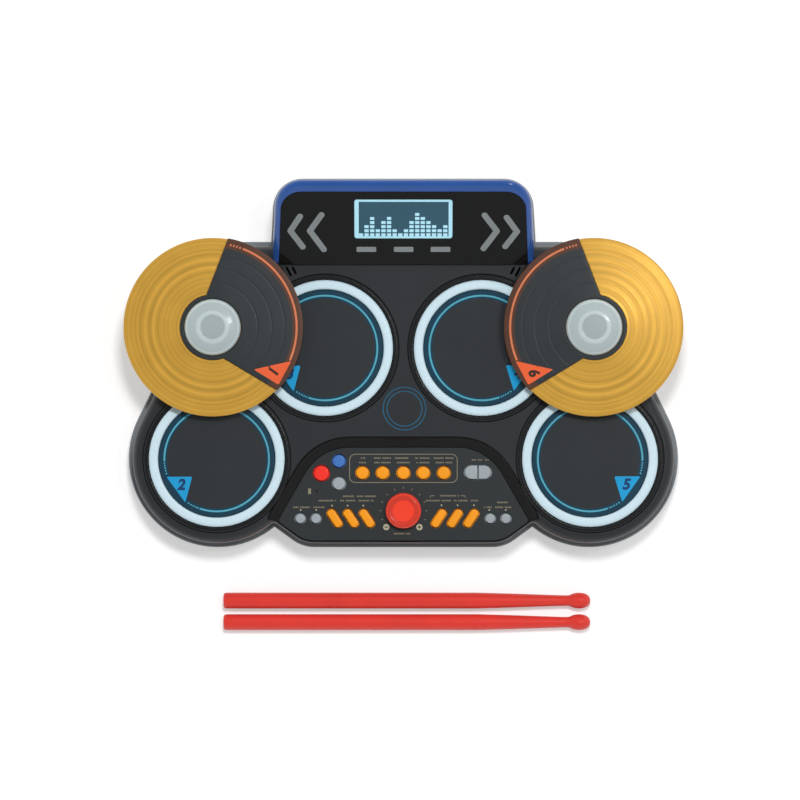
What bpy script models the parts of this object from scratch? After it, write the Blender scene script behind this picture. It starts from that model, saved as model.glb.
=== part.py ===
"""A children's electronic drum pad: a black case with four light-ringed drum pads, two cymbals on
swinging arms, a blue display housing, a control panel with its keys and knob, and two drumsticks.

Metres, +Z up, the player at -Y. The origin is on the table, under the middle of everything.
An edge of an outline is (outward normal in degrees, distance from the middle of the case)."""

import math

import bmesh
import bpy
from mathutils import Matrix, Vector

# Fits and walls
GAP = 0.0003  # between two pieces that sit on or in each other
WALL = 0.0024  # of the mouldings
FLANGE_OVERLAP = 0.0010  # how far a joined-on feature sinks into its wall
ARC_STEP = 19.0  # degrees between the points of a rounded outline
SMOOTH_ANGLE = 35.0  # degrees, above which an edge stays sharp

# Levels above the table
CASE_FLOOR_Z = 0.0025
SEAM_Z = 0.0200
DECK_Z = 0.0460
PANEL_Z = DECK_Z - 0.0050

# Drum pads, and where their middles are
RING_RADIUS = 0.0530  # outer radius of the light ring
RING_WIDTH = 0.0074
RING_PROUD = 0.0026  # above the deck
RING_DEPTH = 0.0040  # below the deck
SEAT_WIDTH = 0.0055
PAD_TRAVEL = 0.0015
PAD_POST_RADIUS = 0.0060
PAD_SEGMENTS = 24
SEAT_RADIUS = RING_RADIUS + GAP + SEAT_WIDTH
REAR_PAD_SPACING = 0.0046  # between the rear seats
REAR_PAD_Y = 0.0468
PAD_WEB = 0.0034  # between a rear seat and a front one
FRONT_PAD_BEARING = -45.7  # degrees, from a rear pad to the front pad beside it

# Case outline
LOBE_MARGIN = 0.0075  # of the case around a front seat
FRONT_EDGE = (270.0, 0.1061)
SLANT_EDGE = (306.0, 0.1317)
BACK_EDGE = (90.0, 0.1264)
SIDE_BEARING = 26.0
FRONT_CORNER_RADIUS = 0.0260
NECK_RADIUS = 0.0040  # hollow corners beside the front lobes and beside the display
SHOULDER_RADIUS = 0.0234

# Control panel
PANEL_RIM = 0.0024  # of the case in front of the panel
PANEL_BACK_EDGE = (90.0, -0.0309)
PANEL_SIDE_BEARING = 30.0
PANEL_TO_SEAT = 0.0065
PANEL_CORNER_RADIUS = 0.0030
PANEL_SHOULDER_RADIUS = 0.0400
PANEL_THICKNESS = 0.0020
PANEL_LEDGE = 0.0022  # that the panel lies on
PANEL_SLOPE_WIDTH = 0.0078

# Keys and knob
KEY_CLEARANCE = 0.00035
KEY_FLANGE = 0.0012
KEY_PROUD = 0.0016
KEY_TRAVEL = 0.0010
ROUND_KEY_RADIUS = 0.0050
POWER_KEY_RADIUS = 0.0060
SMALL_KEY_RADIUS = 0.0039
SLANTED_KEY = (0.0066, 0.0158, 0.0026)  # width, length, corner radius
SLANTED_KEY_TILT = 33.6
TEMPO_KEY = (0.0208, 0.0110)  # length and width of the pair
TEMPO_KEY_CENTRE = Vector((0.0582, -0.0502))
TEMPO_KEY_SPLIT = 0.0006
KNOB_CENTRE = Vector((0.0, -0.0803))
KNOB_RADIUS = 0.0140
KNOB_HEIGHT = 0.0092
KNOB_STEM_RADIUS = 0.0030
ENCODER_RADIUS = 0.0075
MICROPHONE_CENTRE = Vector((-0.0678, -0.0651))
MICROPHONE_RADIUS = 0.0030
BOARD_THICKNESS = 0.0016
MAIN_BOARD_Z = PANEL_Z - 0.0105
BOARD_INSET = 0.0060  # of the main board from the panel's outline
MEMBRANE_INSET = 0.0070

# Display
DISPLAY_HALF_WIDTH = 0.1025  # at its front
DISPLAY_SIDE_BEARING = 3.25
DISPLAY_OVERHANG = 0.0144  # over the back of the deck
DISPLAY_DEPTH = 0.0653
DISPLAY_CORNER_RADIUS = 0.0210
DISPLAY_TILT = 27.5
FASCIA_SIDE_RIM = 0.0055
FASCIA_BACK_RIM = 0.0092
FASCIA_THICKNESS = 0.0022
FASCIA_CORNER_RADIUS = 0.0160
FASCIA_LEDGE = 0.0040
SCREEN = (0.0766, 0.0343)  # the window in the fascia
SCREEN_CENTRE = 0.0392  # up the slope from the fascia's front
LCD_MODULE = (0.0860, 0.0380, 0.0050)
DISPLAY_BOARD = (0.1200, 0.0400)

# Cymbals
PIVOT_FROM_SHOULDER = Vector((-0.0040, 0.0078))
PIVOT_BOSS_RADIUS = 0.0100
PIVOT_BOSS_HEIGHT = 0.0035
PIN_RADIUS = 0.0030
PIN_HEAD_RADIUS = 0.0065
ARM_THICKNESS = 0.0054
ARM_HUB_RADIUS = 0.0130
CYMBAL_REACH = 0.0557
CYMBAL_BEARING = -59.1  # degrees, from the right pivot to the middle of its cymbal when closed
CYMBAL_RADIUS = 0.0695
CYMBAL_THICKNESS = 0.0042  # at its edge
CYMBAL_RISE = 0.0031  # from its edge to its hub
SPIGOT_RADIUS = 0.0070
STRIKE_PAD_RADIUS = 0.0702
STRIKE_PAD_THICKNESS = 0.0016
STRIKE_PAD_PROUD = 0.0010
STRIKE_PAD_TRAVEL = 0.0010
STRIKE_PAD_CLEARANCE = 0.0004
COLLAR_RADIUS = 0.0254
LENS_RADIUS = 0.0218
WEDGE_APEX = Vector((-0.0176, -0.0083))  # of the left strike pad, from the middle of its cymbal
WEDGE_BEARING = 19.0
WEDGE_HALF_ANGLE = 50.0
DISC_SEGMENTS = 32

# Speakers, battery bay, feet
SPEAKER_CENTRE = Vector((0.1030, 0.0880))
SPEAKER_RADIUS = 0.0200
SPEAKER_Z = 0.0180
SPEAKER_HEIGHT = 0.0185
SLIT_COUNT = 5
SLIT_PITCH = 0.0047
SLIT_WIDTH = 0.0018
SLIT_BACK = Vector((0.0866, 0.1100))
SLIT_BEARING = 242.0
SLIT_MARGIN = 0.0030  # between a slit and the rear seat
BAY = (0.0620, 0.0560, 0.0150)
BAY_CENTRE_Y = 0.0280
DOOR_MARGIN = (0.0020, 0.0025, 0.0115)  # past the bay at its sides, back and front
DOOR_THICKNESS = 0.0030
DOOR_LEDGE_THICKNESS = 0.0020
SCREW_RADIUS = 0.0016
SCREW_HEAD_RADIUS = 0.0030
SCREW_HEAD_HEIGHT = 0.0013
SCREW_LENGTH = 0.0080
FOOT_RADIUS = 0.0090
FOOT_RECESS = 0.0015
FRONT_FOOT = Vector((0.1500, -0.0750))
REAR_FOOT = Vector((0.0800, 0.1600))
FRONT_MARK = (0.0140, 0.0225, 0.0255, 0.0012)  # half width, bottom, top and depth

# Drumsticks
STICK_LENGTH = 0.2885
STICK_RADIUS = 0.0064
STICK_NECK_RADIUS = 0.0042
STICK_BUTT_X = -0.1415
STICK_ROWS = {"drumstick_rear": -0.1520, "drumstick_front": -0.1690}
STICK_SEGMENTS = 12


def direction(degrees):
    angle = math.radians(degrees)
    return Vector((math.cos(angle), math.sin(angle)))


def corner(first, second, radius):
    """The middle of the round corner between two edges; a hollow corner's radius is negative."""
    a, b = direction(first[0]), direction(second[0])
    p, q = first[1] - radius, second[1] - radius
    scale = a.x * b.y - a.y * b.x
    return Vector(((p * b.y - q * a.y) / scale, (q * a.x - p * b.x) / scale))


def neck(edge, lobe, lobe_radius, radius):
    """The middle of the hollow arc that joins an edge to the round lobe after it."""
    normal = direction(edge[0])
    along = Vector((-normal.y, normal.x))
    out = edge[1] + radius
    reach = math.sqrt((lobe_radius + radius) ** 2 - (out - normal.dot(lobe)) ** 2)
    return normal * out + along * (along.dot(lobe) - reach)


def bearing(vector):
    return math.degrees(math.atan2(vector.y, vector.x)) % 360.0


REAR_PAD = Vector((SEAT_RADIUS + REAR_PAD_SPACING / 2, REAR_PAD_Y))
FRONT_PAD = REAR_PAD + direction(FRONT_PAD_BEARING) * (2 * SEAT_RADIUS + PAD_WEB)
LOBE_RADIUS = SEAT_RADIUS + LOBE_MARGIN
SIDE_EDGE = (SIDE_BEARING, direction(SIDE_BEARING).dot(FRONT_PAD) + LOBE_RADIUS)
SHOULDER = corner(SIDE_EDGE, BACK_EDGE, SHOULDER_RADIUS)
PIVOT = SHOULDER + PIVOT_FROM_SHOULDER
CYMBAL_OFFSET = direction(CYMBAL_BEARING) * CYMBAL_REACH
DISPLAY_FRONT_Y = BACK_EDGE[1] - DISPLAY_OVERHANG
DISPLAY_BACK_EDGE = (90.0, DISPLAY_FRONT_Y + DISPLAY_DEPTH)
DISPLAY_FRONT_CORNER = Vector((DISPLAY_HALF_WIDTH, DISPLAY_FRONT_Y))
DISPLAY_SIDE_EDGE = (
    DISPLAY_SIDE_BEARING,
    direction(DISPLAY_SIDE_BEARING).dot(DISPLAY_FRONT_CORNER),
)

# Half outlines, each a list of arcs: middle, radius, first normal and last normal
NECK = neck(SLANT_EDGE, FRONT_PAD, LOBE_RADIUS, NECK_RADIUS)
LOBE_START = bearing(NECK - FRONT_PAD)
CASE_BODY = [
    (corner(FRONT_EDGE, SLANT_EDGE, FRONT_CORNER_RADIUS), FRONT_CORNER_RADIUS, 270.0, SLANT_EDGE[0]),
    (NECK, -NECK_RADIUS, SLANT_EDGE[0], LOBE_START),
    (FRONT_PAD, LOBE_RADIUS, LOBE_START, 360.0 + SIDE_BEARING),
    (SHOULDER, SHOULDER_RADIUS, SIDE_BEARING, 90.0),
]
DISPLAY_BACK = (
    corner(DISPLAY_SIDE_EDGE, DISPLAY_BACK_EDGE, DISPLAY_CORNER_RADIUS),
    DISPLAY_CORNER_RADIUS,
    DISPLAY_SIDE_BEARING,
    90.0,
)
CASE_AND_DISPLAY = CASE_BODY + [
    (corner(BACK_EDGE, DISPLAY_SIDE_EDGE, -NECK_RADIUS), -NECK_RADIUS, 90.0, DISPLAY_SIDE_BEARING),
    DISPLAY_BACK,
]
PANEL_FRONT_EDGE = (FRONT_EDGE[0], FRONT_EDGE[1] - PANEL_RIM)
PANEL_SLANT_EDGE = (SLANT_EDGE[0], SLANT_EDGE[1] - PANEL_RIM)
PANEL_SIDE_EDGE = (
    PANEL_SIDE_BEARING,
    direction(PANEL_SIDE_BEARING).dot(FRONT_PAD) - SEAT_RADIUS - PANEL_TO_SEAT,
)


def panel_corner(first, second, radius):
    turn = second[0] - first[0]
    return (corner(first, second, radius), radius, first[0], first[0] + turn % 360.0)


PANEL = [
    panel_corner(PANEL_FRONT_EDGE, PANEL_SLANT_EDGE, FRONT_CORNER_RADIUS - PANEL_RIM),
    panel_corner(PANEL_SLANT_EDGE, PANEL_SIDE_EDGE, PANEL_CORNER_RADIUS),
    panel_corner(PANEL_SIDE_EDGE, PANEL_BACK_EDGE, PANEL_SHOULDER_RADIUS),
]


def outline(arcs, inset=0.0):
    """The whole outline, counterclockwise, drawn in by inset, from the arcs of its right half."""
    half = []
    for centre, radius, first, last in arcs:
        if 0 < radius <= inset:  # drawn in past its roundness, the corner is sharp
            spread = math.cos(math.radians((last - first) / 2))
            half.append(centre + direction((first + last) / 2) * (radius - inset) / spread)
            continue
        steps = max(2, round(abs(last - first) / ARC_STEP))
        for index in range(steps + 1):
            normal = direction(first + (last - first) * index / steps)
            point = centre + normal * (radius - inset)
            if not half or (point - half[-1]).length > GAP / 10:
                half.append(point)
    return half + [Vector((-point.x, point.y)) for point in reversed(half)]


def arc(centre, radius, first, last, steps):
    return [
        Vector(centre) + direction(first + (last - first) * index / steps) * radius
        for index in range(steps + 1)
    ]


def circle(radius, steps, centre=(0.0, 0.0)):
    return arc(centre, radius, 0.0, 360.0, steps)[:-1]


def rounded_rectangle(width, length, radius, steps=3):
    x, y = width / 2 - radius, length / 2 - radius
    points = []
    for quarter, middle in enumerate(((x, y), (-x, y), (-x, -y), (x, -y))):
        points += arc(middle, radius, quarter * 90.0, quarter * 90.0 + 90.0, steps)
    return points


def rectangle(width, length, centre=(0.0, 0.0)):
    x, y = width / 2, length / 2
    return [Vector(centre) + Vector(at) for at in ((-x, -y), (x, -y), (x, y), (-x, y))]


def moved(points, centre, turn=0.0):
    across, up = direction(turn), direction(turn + 90.0)
    return [Vector(centre) + across * point.x + up * point.y for point in points]


def level(points, height):
    """The points in space, at one height or at the height that a function gives for their y."""
    return [Vector((p.x, p.y, height(p.y) if callable(height) else height)) for p in points]


def finish_mesh(name, shape):
    bmesh.ops.recalc_face_normals(shape, faces=shape.faces)
    mesh = bpy.data.meshes.new(name)
    shape.to_mesh(mesh)
    shape.free()
    mesh.shade_smooth()
    mesh.set_sharp_from_angle(angle=math.radians(SMOOTH_ANGLE))
    solid = bpy.data.objects.new(name, mesh)
    bpy.context.scene.collection.objects.link(solid)
    return solid


def add_skin(shape, rings):
    """Faces through rings of equal point counts, lowest first, with a cap on each end."""
    loops = [[shape.verts.new(point) for point in ring] for ring in rings]
    for lower, upper in zip(loops, loops[1:]):
        for index, start in enumerate(lower):
            after = (index + 1) % len(lower)
            shape.faces.new((start, lower[after], upper[after], upper[index]))
    shape.faces.new(reversed(loops[0]))
    shape.faces.new(loops[-1])


def loft(name, rings):
    shape = bmesh.new()
    add_skin(shape, rings)
    return finish_mesh(name, shape)


def prisms(name, columns):
    """Upright columns in one object, each (outline, bottom, top)."""
    shape = bmesh.new()
    for points, bottom, top in columns:
        add_skin(shape, [level(points, bottom), level(points, top)])
    return finish_mesh(name, shape)


def add_turned(shape, profile, segments, centre=(0.0, 0.0)):
    """Spins a profile of (radius, height). One that starts off the axis is a ring's closed loop."""
    x, y = centre
    verts = [shape.verts.new((x + radius, y, height)) for radius, height in profile]
    edges = [shape.edges.new(pair) for pair in zip(verts, verts[1:])]
    if profile[0][0] > 0:
        edges.append(shape.edges.new((verts[-1], verts[0])))
    bmesh.ops.spin(
        shape,
        geom=verts + edges,
        cent=(x, y, 0.0),
        axis=(0.0, 0.0, 1.0),
        angle=math.tau,
        steps=segments,
        use_merge=True,
    )
    bmesh.ops.remove_doubles(shape, verts=shape.verts, dist=GAP / 100)


def turned(name, profile, segments, centres=((0.0, 0.0),)):
    """The turned shape at each of the centres, in one object."""
    shape = bmesh.new()
    for centre in centres:
        add_turned(shape, profile, segments, centre)
    return finish_mesh(name, shape)


def boolean(target, tool, operation="DIFFERENCE"):
    modifier = target.modifiers.new(tool.name, "BOOLEAN")
    modifier.operation = operation
    modifier.object = tool
    tool.hide_render = True
    tool.display_type = "WIRE"


def material(name, colour, roughness, metallic=0.0):
    surface = bpy.data.materials.new(name)
    surface.use_nodes = True
    shader = surface.node_tree.nodes["Principled BSDF"]
    linear = [(channel / 255.0) ** 2.2 for channel in bytes.fromhex(colour)]
    shader.inputs["Base Color"].default_value = (*linear, 1.0)
    shader.inputs["Roughness"].default_value = roughness
    shader.inputs["Metallic"].default_value = metallic
    return surface


def dress(solid, colour, roughness=0.45, metallic=0.0):
    """Gives a piece its own material."""
    solid.data.materials.append(material(f"{solid.name}_finish", colour, roughness, metallic))


def place(solid, parent, location=(0.0, 0.0, 0.0), rotation=(0.0, 0.0, 0.0)):
    solid.parent = parent
    solid.location = location
    solid.rotation_euler = rotation
    return solid


def axis_empty(name, parent=None, location=(0.0, 0.0, 0.0), rotation=(0.0, 0.0, 0.0)):
    marker = bpy.data.objects.new(name, None)
    bpy.context.scene.collection.objects.link(marker)
    return place(marker, parent, location, rotation)


def both_sides(point):
    return {"left": Vector((-point.x, point.y)), "right": Vector((point.x, point.y))}


def pad_centres():
    return {
        f"{row}_{side}": centre
        for row, point in (("front", FRONT_PAD), ("rear", REAR_PAD))
        for side, centre in both_sides(point).items()
    }


# The drum pads: each light ring sits on its seat's ledge and holds the pad's flange down
RING_SEAT_Z = DECK_Z - RING_DEPTH - GAP
RING_TOP_Z = DECK_Z + RING_PROUD
RING_LIP = 0.0026  # of the ring over the pad's flange
RING_LIP_Z = DECK_Z - 0.0024
PAD_RADIUS = RING_RADIUS - RING_WIDTH - 0.0004
FLANGE_RADIUS = RING_RADIUS - RING_WIDTH + RING_LIP - 0.0004
PAD_FLANGE_Z = RING_LIP_Z - GAP
PAD_STEM_Z = DECK_Z - 0.0070
PAD_TOP_Z = RING_TOP_Z - 0.0005


def light_ring(name, parent):
    inner = RING_RADIUS - RING_WIDTH
    profile = [
        (inner + RING_LIP, RING_SEAT_Z + GAP),
        (RING_RADIUS, RING_SEAT_Z + GAP),
        (RING_RADIUS, RING_TOP_Z - 0.0016),
        (RING_RADIUS - 0.0020, RING_TOP_Z),
        (inner + 0.0016, RING_TOP_Z),
        (inner, RING_TOP_Z - 0.0014),
        (inner, RING_LIP_Z),
        (inner + RING_LIP, RING_LIP_Z),
    ]
    ring = place(turned(name, profile, PAD_SEGMENTS), parent)
    dress(ring, "e6eef0", 0.3)


def drum_pad(name, parent):
    stem = 0.0040
    roof = 0.0028
    profile = [
        (0.0, PAD_STEM_Z),
        (stem, PAD_STEM_Z),
        (stem, PAD_TOP_Z - roof),
        (PAD_RADIUS - roof, PAD_TOP_Z - roof),
        (PAD_RADIUS - roof, PAD_FLANGE_Z - 0.0017),
        (FLANGE_RADIUS, PAD_FLANGE_Z - 0.0017),
        (FLANGE_RADIUS, PAD_FLANGE_Z),
        (PAD_RADIUS, PAD_FLANGE_Z),
        (PAD_RADIUS, PAD_TOP_Z - 0.0008),
        (PAD_RADIUS - 0.0010, PAD_TOP_Z),
        (0.0, PAD_TOP_Z),
    ]
    pad = place(turned(name, profile, PAD_SEGMENTS), parent)
    dress(pad, "2e3235", 0.6)


def drum_pads(root):
    for name, centre in pad_centres().items():
        marker = axis_empty(f"{name}_pad_axis", root, (*centre, 0.0))
        light_ring(f"light_ring_{name}", marker)
        drum_pad(f"drum_pad_{name}", marker)


# The top case: (inset, height) of its outside, from its seam to its deck
TOP_CASE_OUTSIDE = [
    (0.0, SEAM_Z + GAP),
    (0.0003, PANEL_Z - 0.0030),
    (0.0007, DECK_Z - 0.0054),
    (0.0016, DECK_Z - 0.0034),
    (0.0032, DECK_Z - 0.0014),
    (0.0056, DECK_Z - 0.0003),
    (0.0070, DECK_Z),
]
TRAY_FLOOR_Z = PANEL_Z - PANEL_THICKNESS - GAP
PANEL_RIM_Z = PANEL_Z + 0.0002
PIVOT_BOSS_Z = DECK_Z + PIVOT_BOSS_HEIGHT
PIN_HOLE_RADIUS = PIN_RADIUS + GAP


def pad_seats():
    bore = RING_RADIUS + GAP
    ledge = RING_RADIUS - 0.0040
    profile = [
        (bore, DECK_Z + 0.0008),
        (SEAT_RADIUS - 0.0008, DECK_Z + 0.0008),
        (SEAT_RADIUS, DECK_Z),
        (bore + WALL, DECK_Z - 0.0030),
        (bore + WALL, RING_SEAT_Z - WALL),
        (ledge, RING_SEAT_Z - WALL),
        (ledge, RING_SEAT_Z),
        (bore, RING_SEAT_Z),
    ]
    return turned("pad_seats", profile, PAD_SEGMENTS, pad_centres().values())


def speaker_slits():
    """Slits fan out from the back edge and stop short of the rear seat."""
    columns = []
    along = direction(SLIT_BEARING)
    for index in range(SLIT_COUNT):
        back = SLIT_BACK + Vector((index * SLIT_PITCH, 0.0))
        offset = back - REAR_PAD
        middle = -offset.dot(along)
        stop = SEAT_RADIUS + SLIT_MARGIN
        length = middle - math.sqrt(stop**2 - offset.dot(offset) + middle**2)
        across = Vector((-along.y, along.x)) * SLIT_WIDTH / 2
        front = back + along * length
        corners = [back + across, front + across, front - across, back - across]
        mirrored = [Vector((-point.x, point.y)) for point in reversed(corners)]
        for points in (corners, mirrored):
            columns.append((points, DECK_Z - 3 * WALL, DECK_Z + WALL))
    return prisms("speaker_slits", columns)


def top_case(root):
    rings = [level(outline(CASE_BODY, inset), height) for inset, height in TOP_CASE_OUTSIDE]
    case = place(loft("top_case", rings), root)
    dress(case, "1f2022", 0.4)

    inside = [
        (WALL, SEAM_Z - WALL),
        (WALL + 0.0008, DECK_Z - 0.0060),
        (WALL + 0.0040, DECK_Z - WALL),
    ]
    cavity = place(
        loft("top_case_inside", [level(outline(CASE_BODY, i), z) for i, z in inside]), root
    )
    tray_margin = PANEL_SLOPE_WIDTH + WALL
    tray = [
        (WALL, TRAY_FLOOR_Z - WALL),
        (tray_margin, DECK_Z - 0.0051),
        (tray_margin, DECK_Z),
    ]
    control_tray = place(
        loft("control_tray", [level(outline(PANEL, -out), z) for out, z in tray]), root
    )
    boolean(cavity, control_tray)
    boolean(case, cavity)

    recess = [
        (GAP, TRAY_FLOOR_Z),
        (GAP, PANEL_RIM_Z),
        (PANEL_SLOPE_WIDTH, DECK_Z + 0.00005),
        (PANEL_SLOPE_WIDTH, DECK_Z + WALL),
    ]
    panel_recess = place(
        loft("panel_recess", [level(outline(PANEL, -out), z) for out, z in recess]), root
    )
    boolean(case, panel_recess)
    key_opening = (outline(PANEL, PANEL_LEDGE), TRAY_FLOOR_Z - 2 * WALL, TRAY_FLOOR_Z + GAP)
    boolean(case, place(prisms("key_opening", [key_opening]), root))

    pad_hole = RING_RADIUS + GAP + WALL / 2
    holes = [
        (circle(pad_hole, PAD_SEGMENTS, centre), SEAM_Z, DECK_Z + WALL)
        for centre in pad_centres().values()
    ]
    boolean(case, place(prisms("pad_holes", holes), root))
    boolean(case, place(pad_seats(), root), "UNION")
    boolean(case, place(speaker_slits(), root))

    pivots = both_sides(PIVOT).values()
    bosses = [(circle(PIVOT_BOSS_RADIUS, 16, at), DECK_Z - WALL / 2, PIVOT_BOSS_Z) for at in pivots]
    boolean(case, place(prisms("pivot_bosses", bosses), root), "UNION")
    bores = [(circle(PIN_HOLE_RADIUS, 12, at), DECK_Z - 2 * WALL, DECK_Z + 4 * WALL) for at in pivots]
    boolean(case, place(prisms("pivot_bores", bores), root))

    half_width, bottom, top, depth = FRONT_MARK
    mark = rectangle(2 * half_width, 2 * depth, (0.0, -FRONT_EDGE[1]))
    boolean(case, place(prisms("front_mark", [(mark, bottom, top)]), root))


# The bottom case: (inset, height) of its outside and inside
BOTTOM_CASE_OUTSIDE = [
    (0.0035, CASE_FLOOR_Z),
    (0.0008, CASE_FLOOR_Z + 0.0030),
    (-0.0004, CASE_FLOOR_Z + 0.0075),
    (-0.0022, SEAM_Z - 0.0035),
    (-0.0022, SEAM_Z - 0.0010),
    (-0.0012, SEAM_Z),
]
BOTTOM_CASE_INSIDE = [
    (0.0059, CASE_FLOOR_Z + WALL),
    (0.0022, CASE_FLOOR_Z + 0.0075),
    (0.0010, SEAM_Z - 0.0035),
    (0.0010, SEAM_Z + WALL),
]
CASE_FLOOR_TOP = CASE_FLOOR_Z + WALL
DOOR_Z = CASE_FLOOR_Z + 0.0002
DOOR_LEDGE_Z = DOOR_Z + DOOR_THICKNESS + GAP
DOOR_WIDTH = BAY[0] + 2 * DOOR_MARGIN[0]
DOOR_LENGTH = BAY[1] + DOOR_MARGIN[1] + DOOR_MARGIN[2]
DOOR_CENTRE = Vector((0.0, BAY_CENTRE_Y + (DOOR_MARGIN[1] - DOOR_MARGIN[2]) / 2))
SCREW_CENTRE = Vector((0.0, BAY_CENTRE_Y - BAY[1] / 2 - DOOR_MARGIN[2] / 2))
SCREW_HEAD_Z = DOOR_Z + 0.0001
FOOT_TOP_Z = CASE_FLOOR_Z + FOOT_RECESS - GAP


def bottom_case(root):
    outside = [level(outline(CASE_AND_DISPLAY, inset), z) for inset, z in BOTTOM_CASE_OUTSIDE]
    case = place(loft("bottom_case", outside), root)
    dress(case, "17181a", 0.5)
    inside = [level(outline(CASE_AND_DISPLAY, inset), z) for inset, z in BOTTOM_CASE_INSIDE]
    boolean(case, place(loft("bottom_case_inside", inside), root))

    sunk = CASE_FLOOR_TOP - FLANGE_OVERLAP
    board_post = (0.0035, MAIN_BOARD_Z - GAP)
    pad_post = (PAD_POST_RADIUS, PAD_STEM_Z - PAD_TRAVEL - GAP)
    posts = [(at, pad_post) for at in pad_centres().values()]
    for point in (Vector((0.0600, -0.0850)), Vector((0.0450, -0.0450))):
        posts += [(at, board_post) for at in both_sides(point).values()]
    columns = [(circle(radius, 8, at), sunk, top) for at, (radius, top) in posts]

    flange_top = DOOR_LEDGE_Z + DOOR_LEDGE_THICKNESS
    bay_top = DOOR_LEDGE_Z + BAY[2]
    bay_centre = (0.0, BAY_CENTRE_Y)
    boolean(case, place(prisms("case_posts", columns), root), "UNION")
    frame = rectangle(DOOR_WIDTH + 2 * WALL, DOOR_LENGTH + 2 * WALL, DOOR_CENTRE)
    boolean(case, place(prisms("door_frame", [(frame, CASE_FLOOR_Z, flange_top)]), root), "UNION")
    box = rectangle(BAY[0] + 1.5 * WALL, BAY[1] + 1.5 * WALL, bay_centre)
    box_column = (box, DOOR_LEDGE_Z + FLANGE_OVERLAP, bay_top + 0.0016)
    boolean(case, place(prisms("battery_box", [box_column]), root), "UNION")
    boss = (circle(2 * SCREW_RADIUS, 12, SCREW_CENTRE), flange_top - FLANGE_OVERLAP, DOOR_Z + 0.0110)
    boolean(case, place(prisms("screw_boss", [boss]), root), "UNION")

    below = CASE_FLOOR_Z - WALL
    door = rectangle(DOOR_WIDTH + 2 * GAP, DOOR_LENGTH + 2 * GAP, DOOR_CENTRE)
    boolean(case, place(prisms("door_recess", [(door, below, DOOR_LEDGE_Z)]), root))
    bay = (rectangle(BAY[0], BAY[1], bay_centre), DOOR_LEDGE_Z - GAP, bay_top)
    screw = (circle(SCREW_RADIUS + GAP, 12, SCREW_CENTRE), DOOR_LEDGE_Z - GAP, DOOR_Z + 0.0095)
    boolean(case, place(prisms("battery_bay", [bay, screw]), root))
    recesses = [
        (circle(FOOT_RADIUS + GAP, 14, at), below, CASE_FLOOR_Z + FOOT_RECESS)
        for foot in (FRONT_FOOT, REAR_FOOT)
        for at in both_sides(foot).values()
    ]
    boolean(case, place(prisms("foot_recesses", recesses), root))

    ring = [
        (SPEAKER_RADIUS - 0.0018, sunk),
        (SPEAKER_RADIUS, sunk),
        (SPEAKER_RADIUS, SPEAKER_RIM_Z - GAP),
        (SPEAKER_RADIUS - 0.0018, SPEAKER_RIM_Z - GAP),
    ]
    rings = turned("speaker_rings", ring, 16, both_sides(SPEAKER_CENTRE).values())
    boolean(case, place(rings, root), "UNION")


def battery_door(root):
    marker = axis_empty("battery_door_axis", root, (*DOOR_CENTRE, 0.0))
    plate = (rectangle(DOOR_WIDTH, DOOR_LENGTH), DOOR_Z, DOOR_Z + DOOR_THICKNESS)
    door = place(prisms("battery_door", [plate]), marker)
    dress(door, "191a1c", 0.5)
    at = SCREW_CENTRE - DOOR_CENTRE
    head_top = SCREW_HEAD_Z + SCREW_HEAD_HEIGHT
    hole = (circle(SCREW_RADIUS + GAP, 12, at), head_top, DOOR_Z + 2 * DOOR_THICKNESS)
    recess = (circle(SCREW_HEAD_RADIUS + GAP, 16, at), DOOR_Z - GAP, head_top + GAP)
    boolean(door, place(prisms("screw_head_recess", [recess]), marker))
    boolean(door, place(prisms("screw_hole", [hole]), marker))

    profile = [
        (0.0, SCREW_HEAD_Z),
        (SCREW_HEAD_RADIUS, SCREW_HEAD_Z),
        (SCREW_HEAD_RADIUS, head_top),
        (SCREW_RADIUS, head_top),
        (SCREW_RADIUS, SCREW_HEAD_Z + SCREW_LENGTH),
        (0.0, SCREW_HEAD_Z + SCREW_LENGTH),
    ]
    screw = place(turned("battery_door_screw", profile, 12), marker, (*at, 0.0))
    dress(screw, "a8abad", 0.3, 1.0)


def feet(root):
    profile = [
        (0.0, 0.0),
        (FOOT_RADIUS - 0.0006, 0.0),
        (FOOT_RADIUS, 0.0006),
        (FOOT_RADIUS, FOOT_TOP_Z),
        (0.0, FOOT_TOP_Z),
    ]
    for row, foot in (("front", FRONT_FOOT), ("rear", REAR_FOOT)):
        for side, at in both_sides(foot).items():
            pad = place(turned(f"foot_{row}_{side}", profile, 14), root, (*at, 0.0))
            dress(pad, "2a2a2a", 0.85)


# Speakers: a magnet, a basket flaring to its rim, and the cone inside it
SPEAKER_RIM_Z = SPEAKER_Z + SPEAKER_HEIGHT - 0.0035


def speakers(root):
    top = SPEAKER_Z + SPEAKER_HEIGHT
    magnet = SPEAKER_RADIUS * 0.55
    profile = [
        (0.0, SPEAKER_Z),
        (magnet, SPEAKER_Z),
        (magnet, SPEAKER_Z + 0.0065),
        (SPEAKER_RADIUS - 0.0024, SPEAKER_RIM_Z),
        (SPEAKER_RADIUS, SPEAKER_RIM_Z),
        (SPEAKER_RADIUS, top),
        (SPEAKER_RADIUS - 0.0020, top),
        (SPEAKER_RADIUS - 0.0040, top - 0.0015),
        (0.0070, top - 0.0060),
        (0.0, top - 0.0045),
    ]
    for side, at in both_sides(SPEAKER_CENTRE).items():
        speaker = place(turned(f"speaker_{side}", profile, 16), root, (*at, 0.0))
        dress(speaker, "33322f", 0.7)


# Keys: name, outline with a given outset, middle, and tilt from straight up
def round_key(radius):
    return lambda out=0.0: circle(radius + out, 12)


def slanted_key(out=0.0):
    width, length, radius = SLANTED_KEY
    return rounded_rectangle(width + 2 * out, length + 2 * out, radius + out, steps=2)


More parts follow.
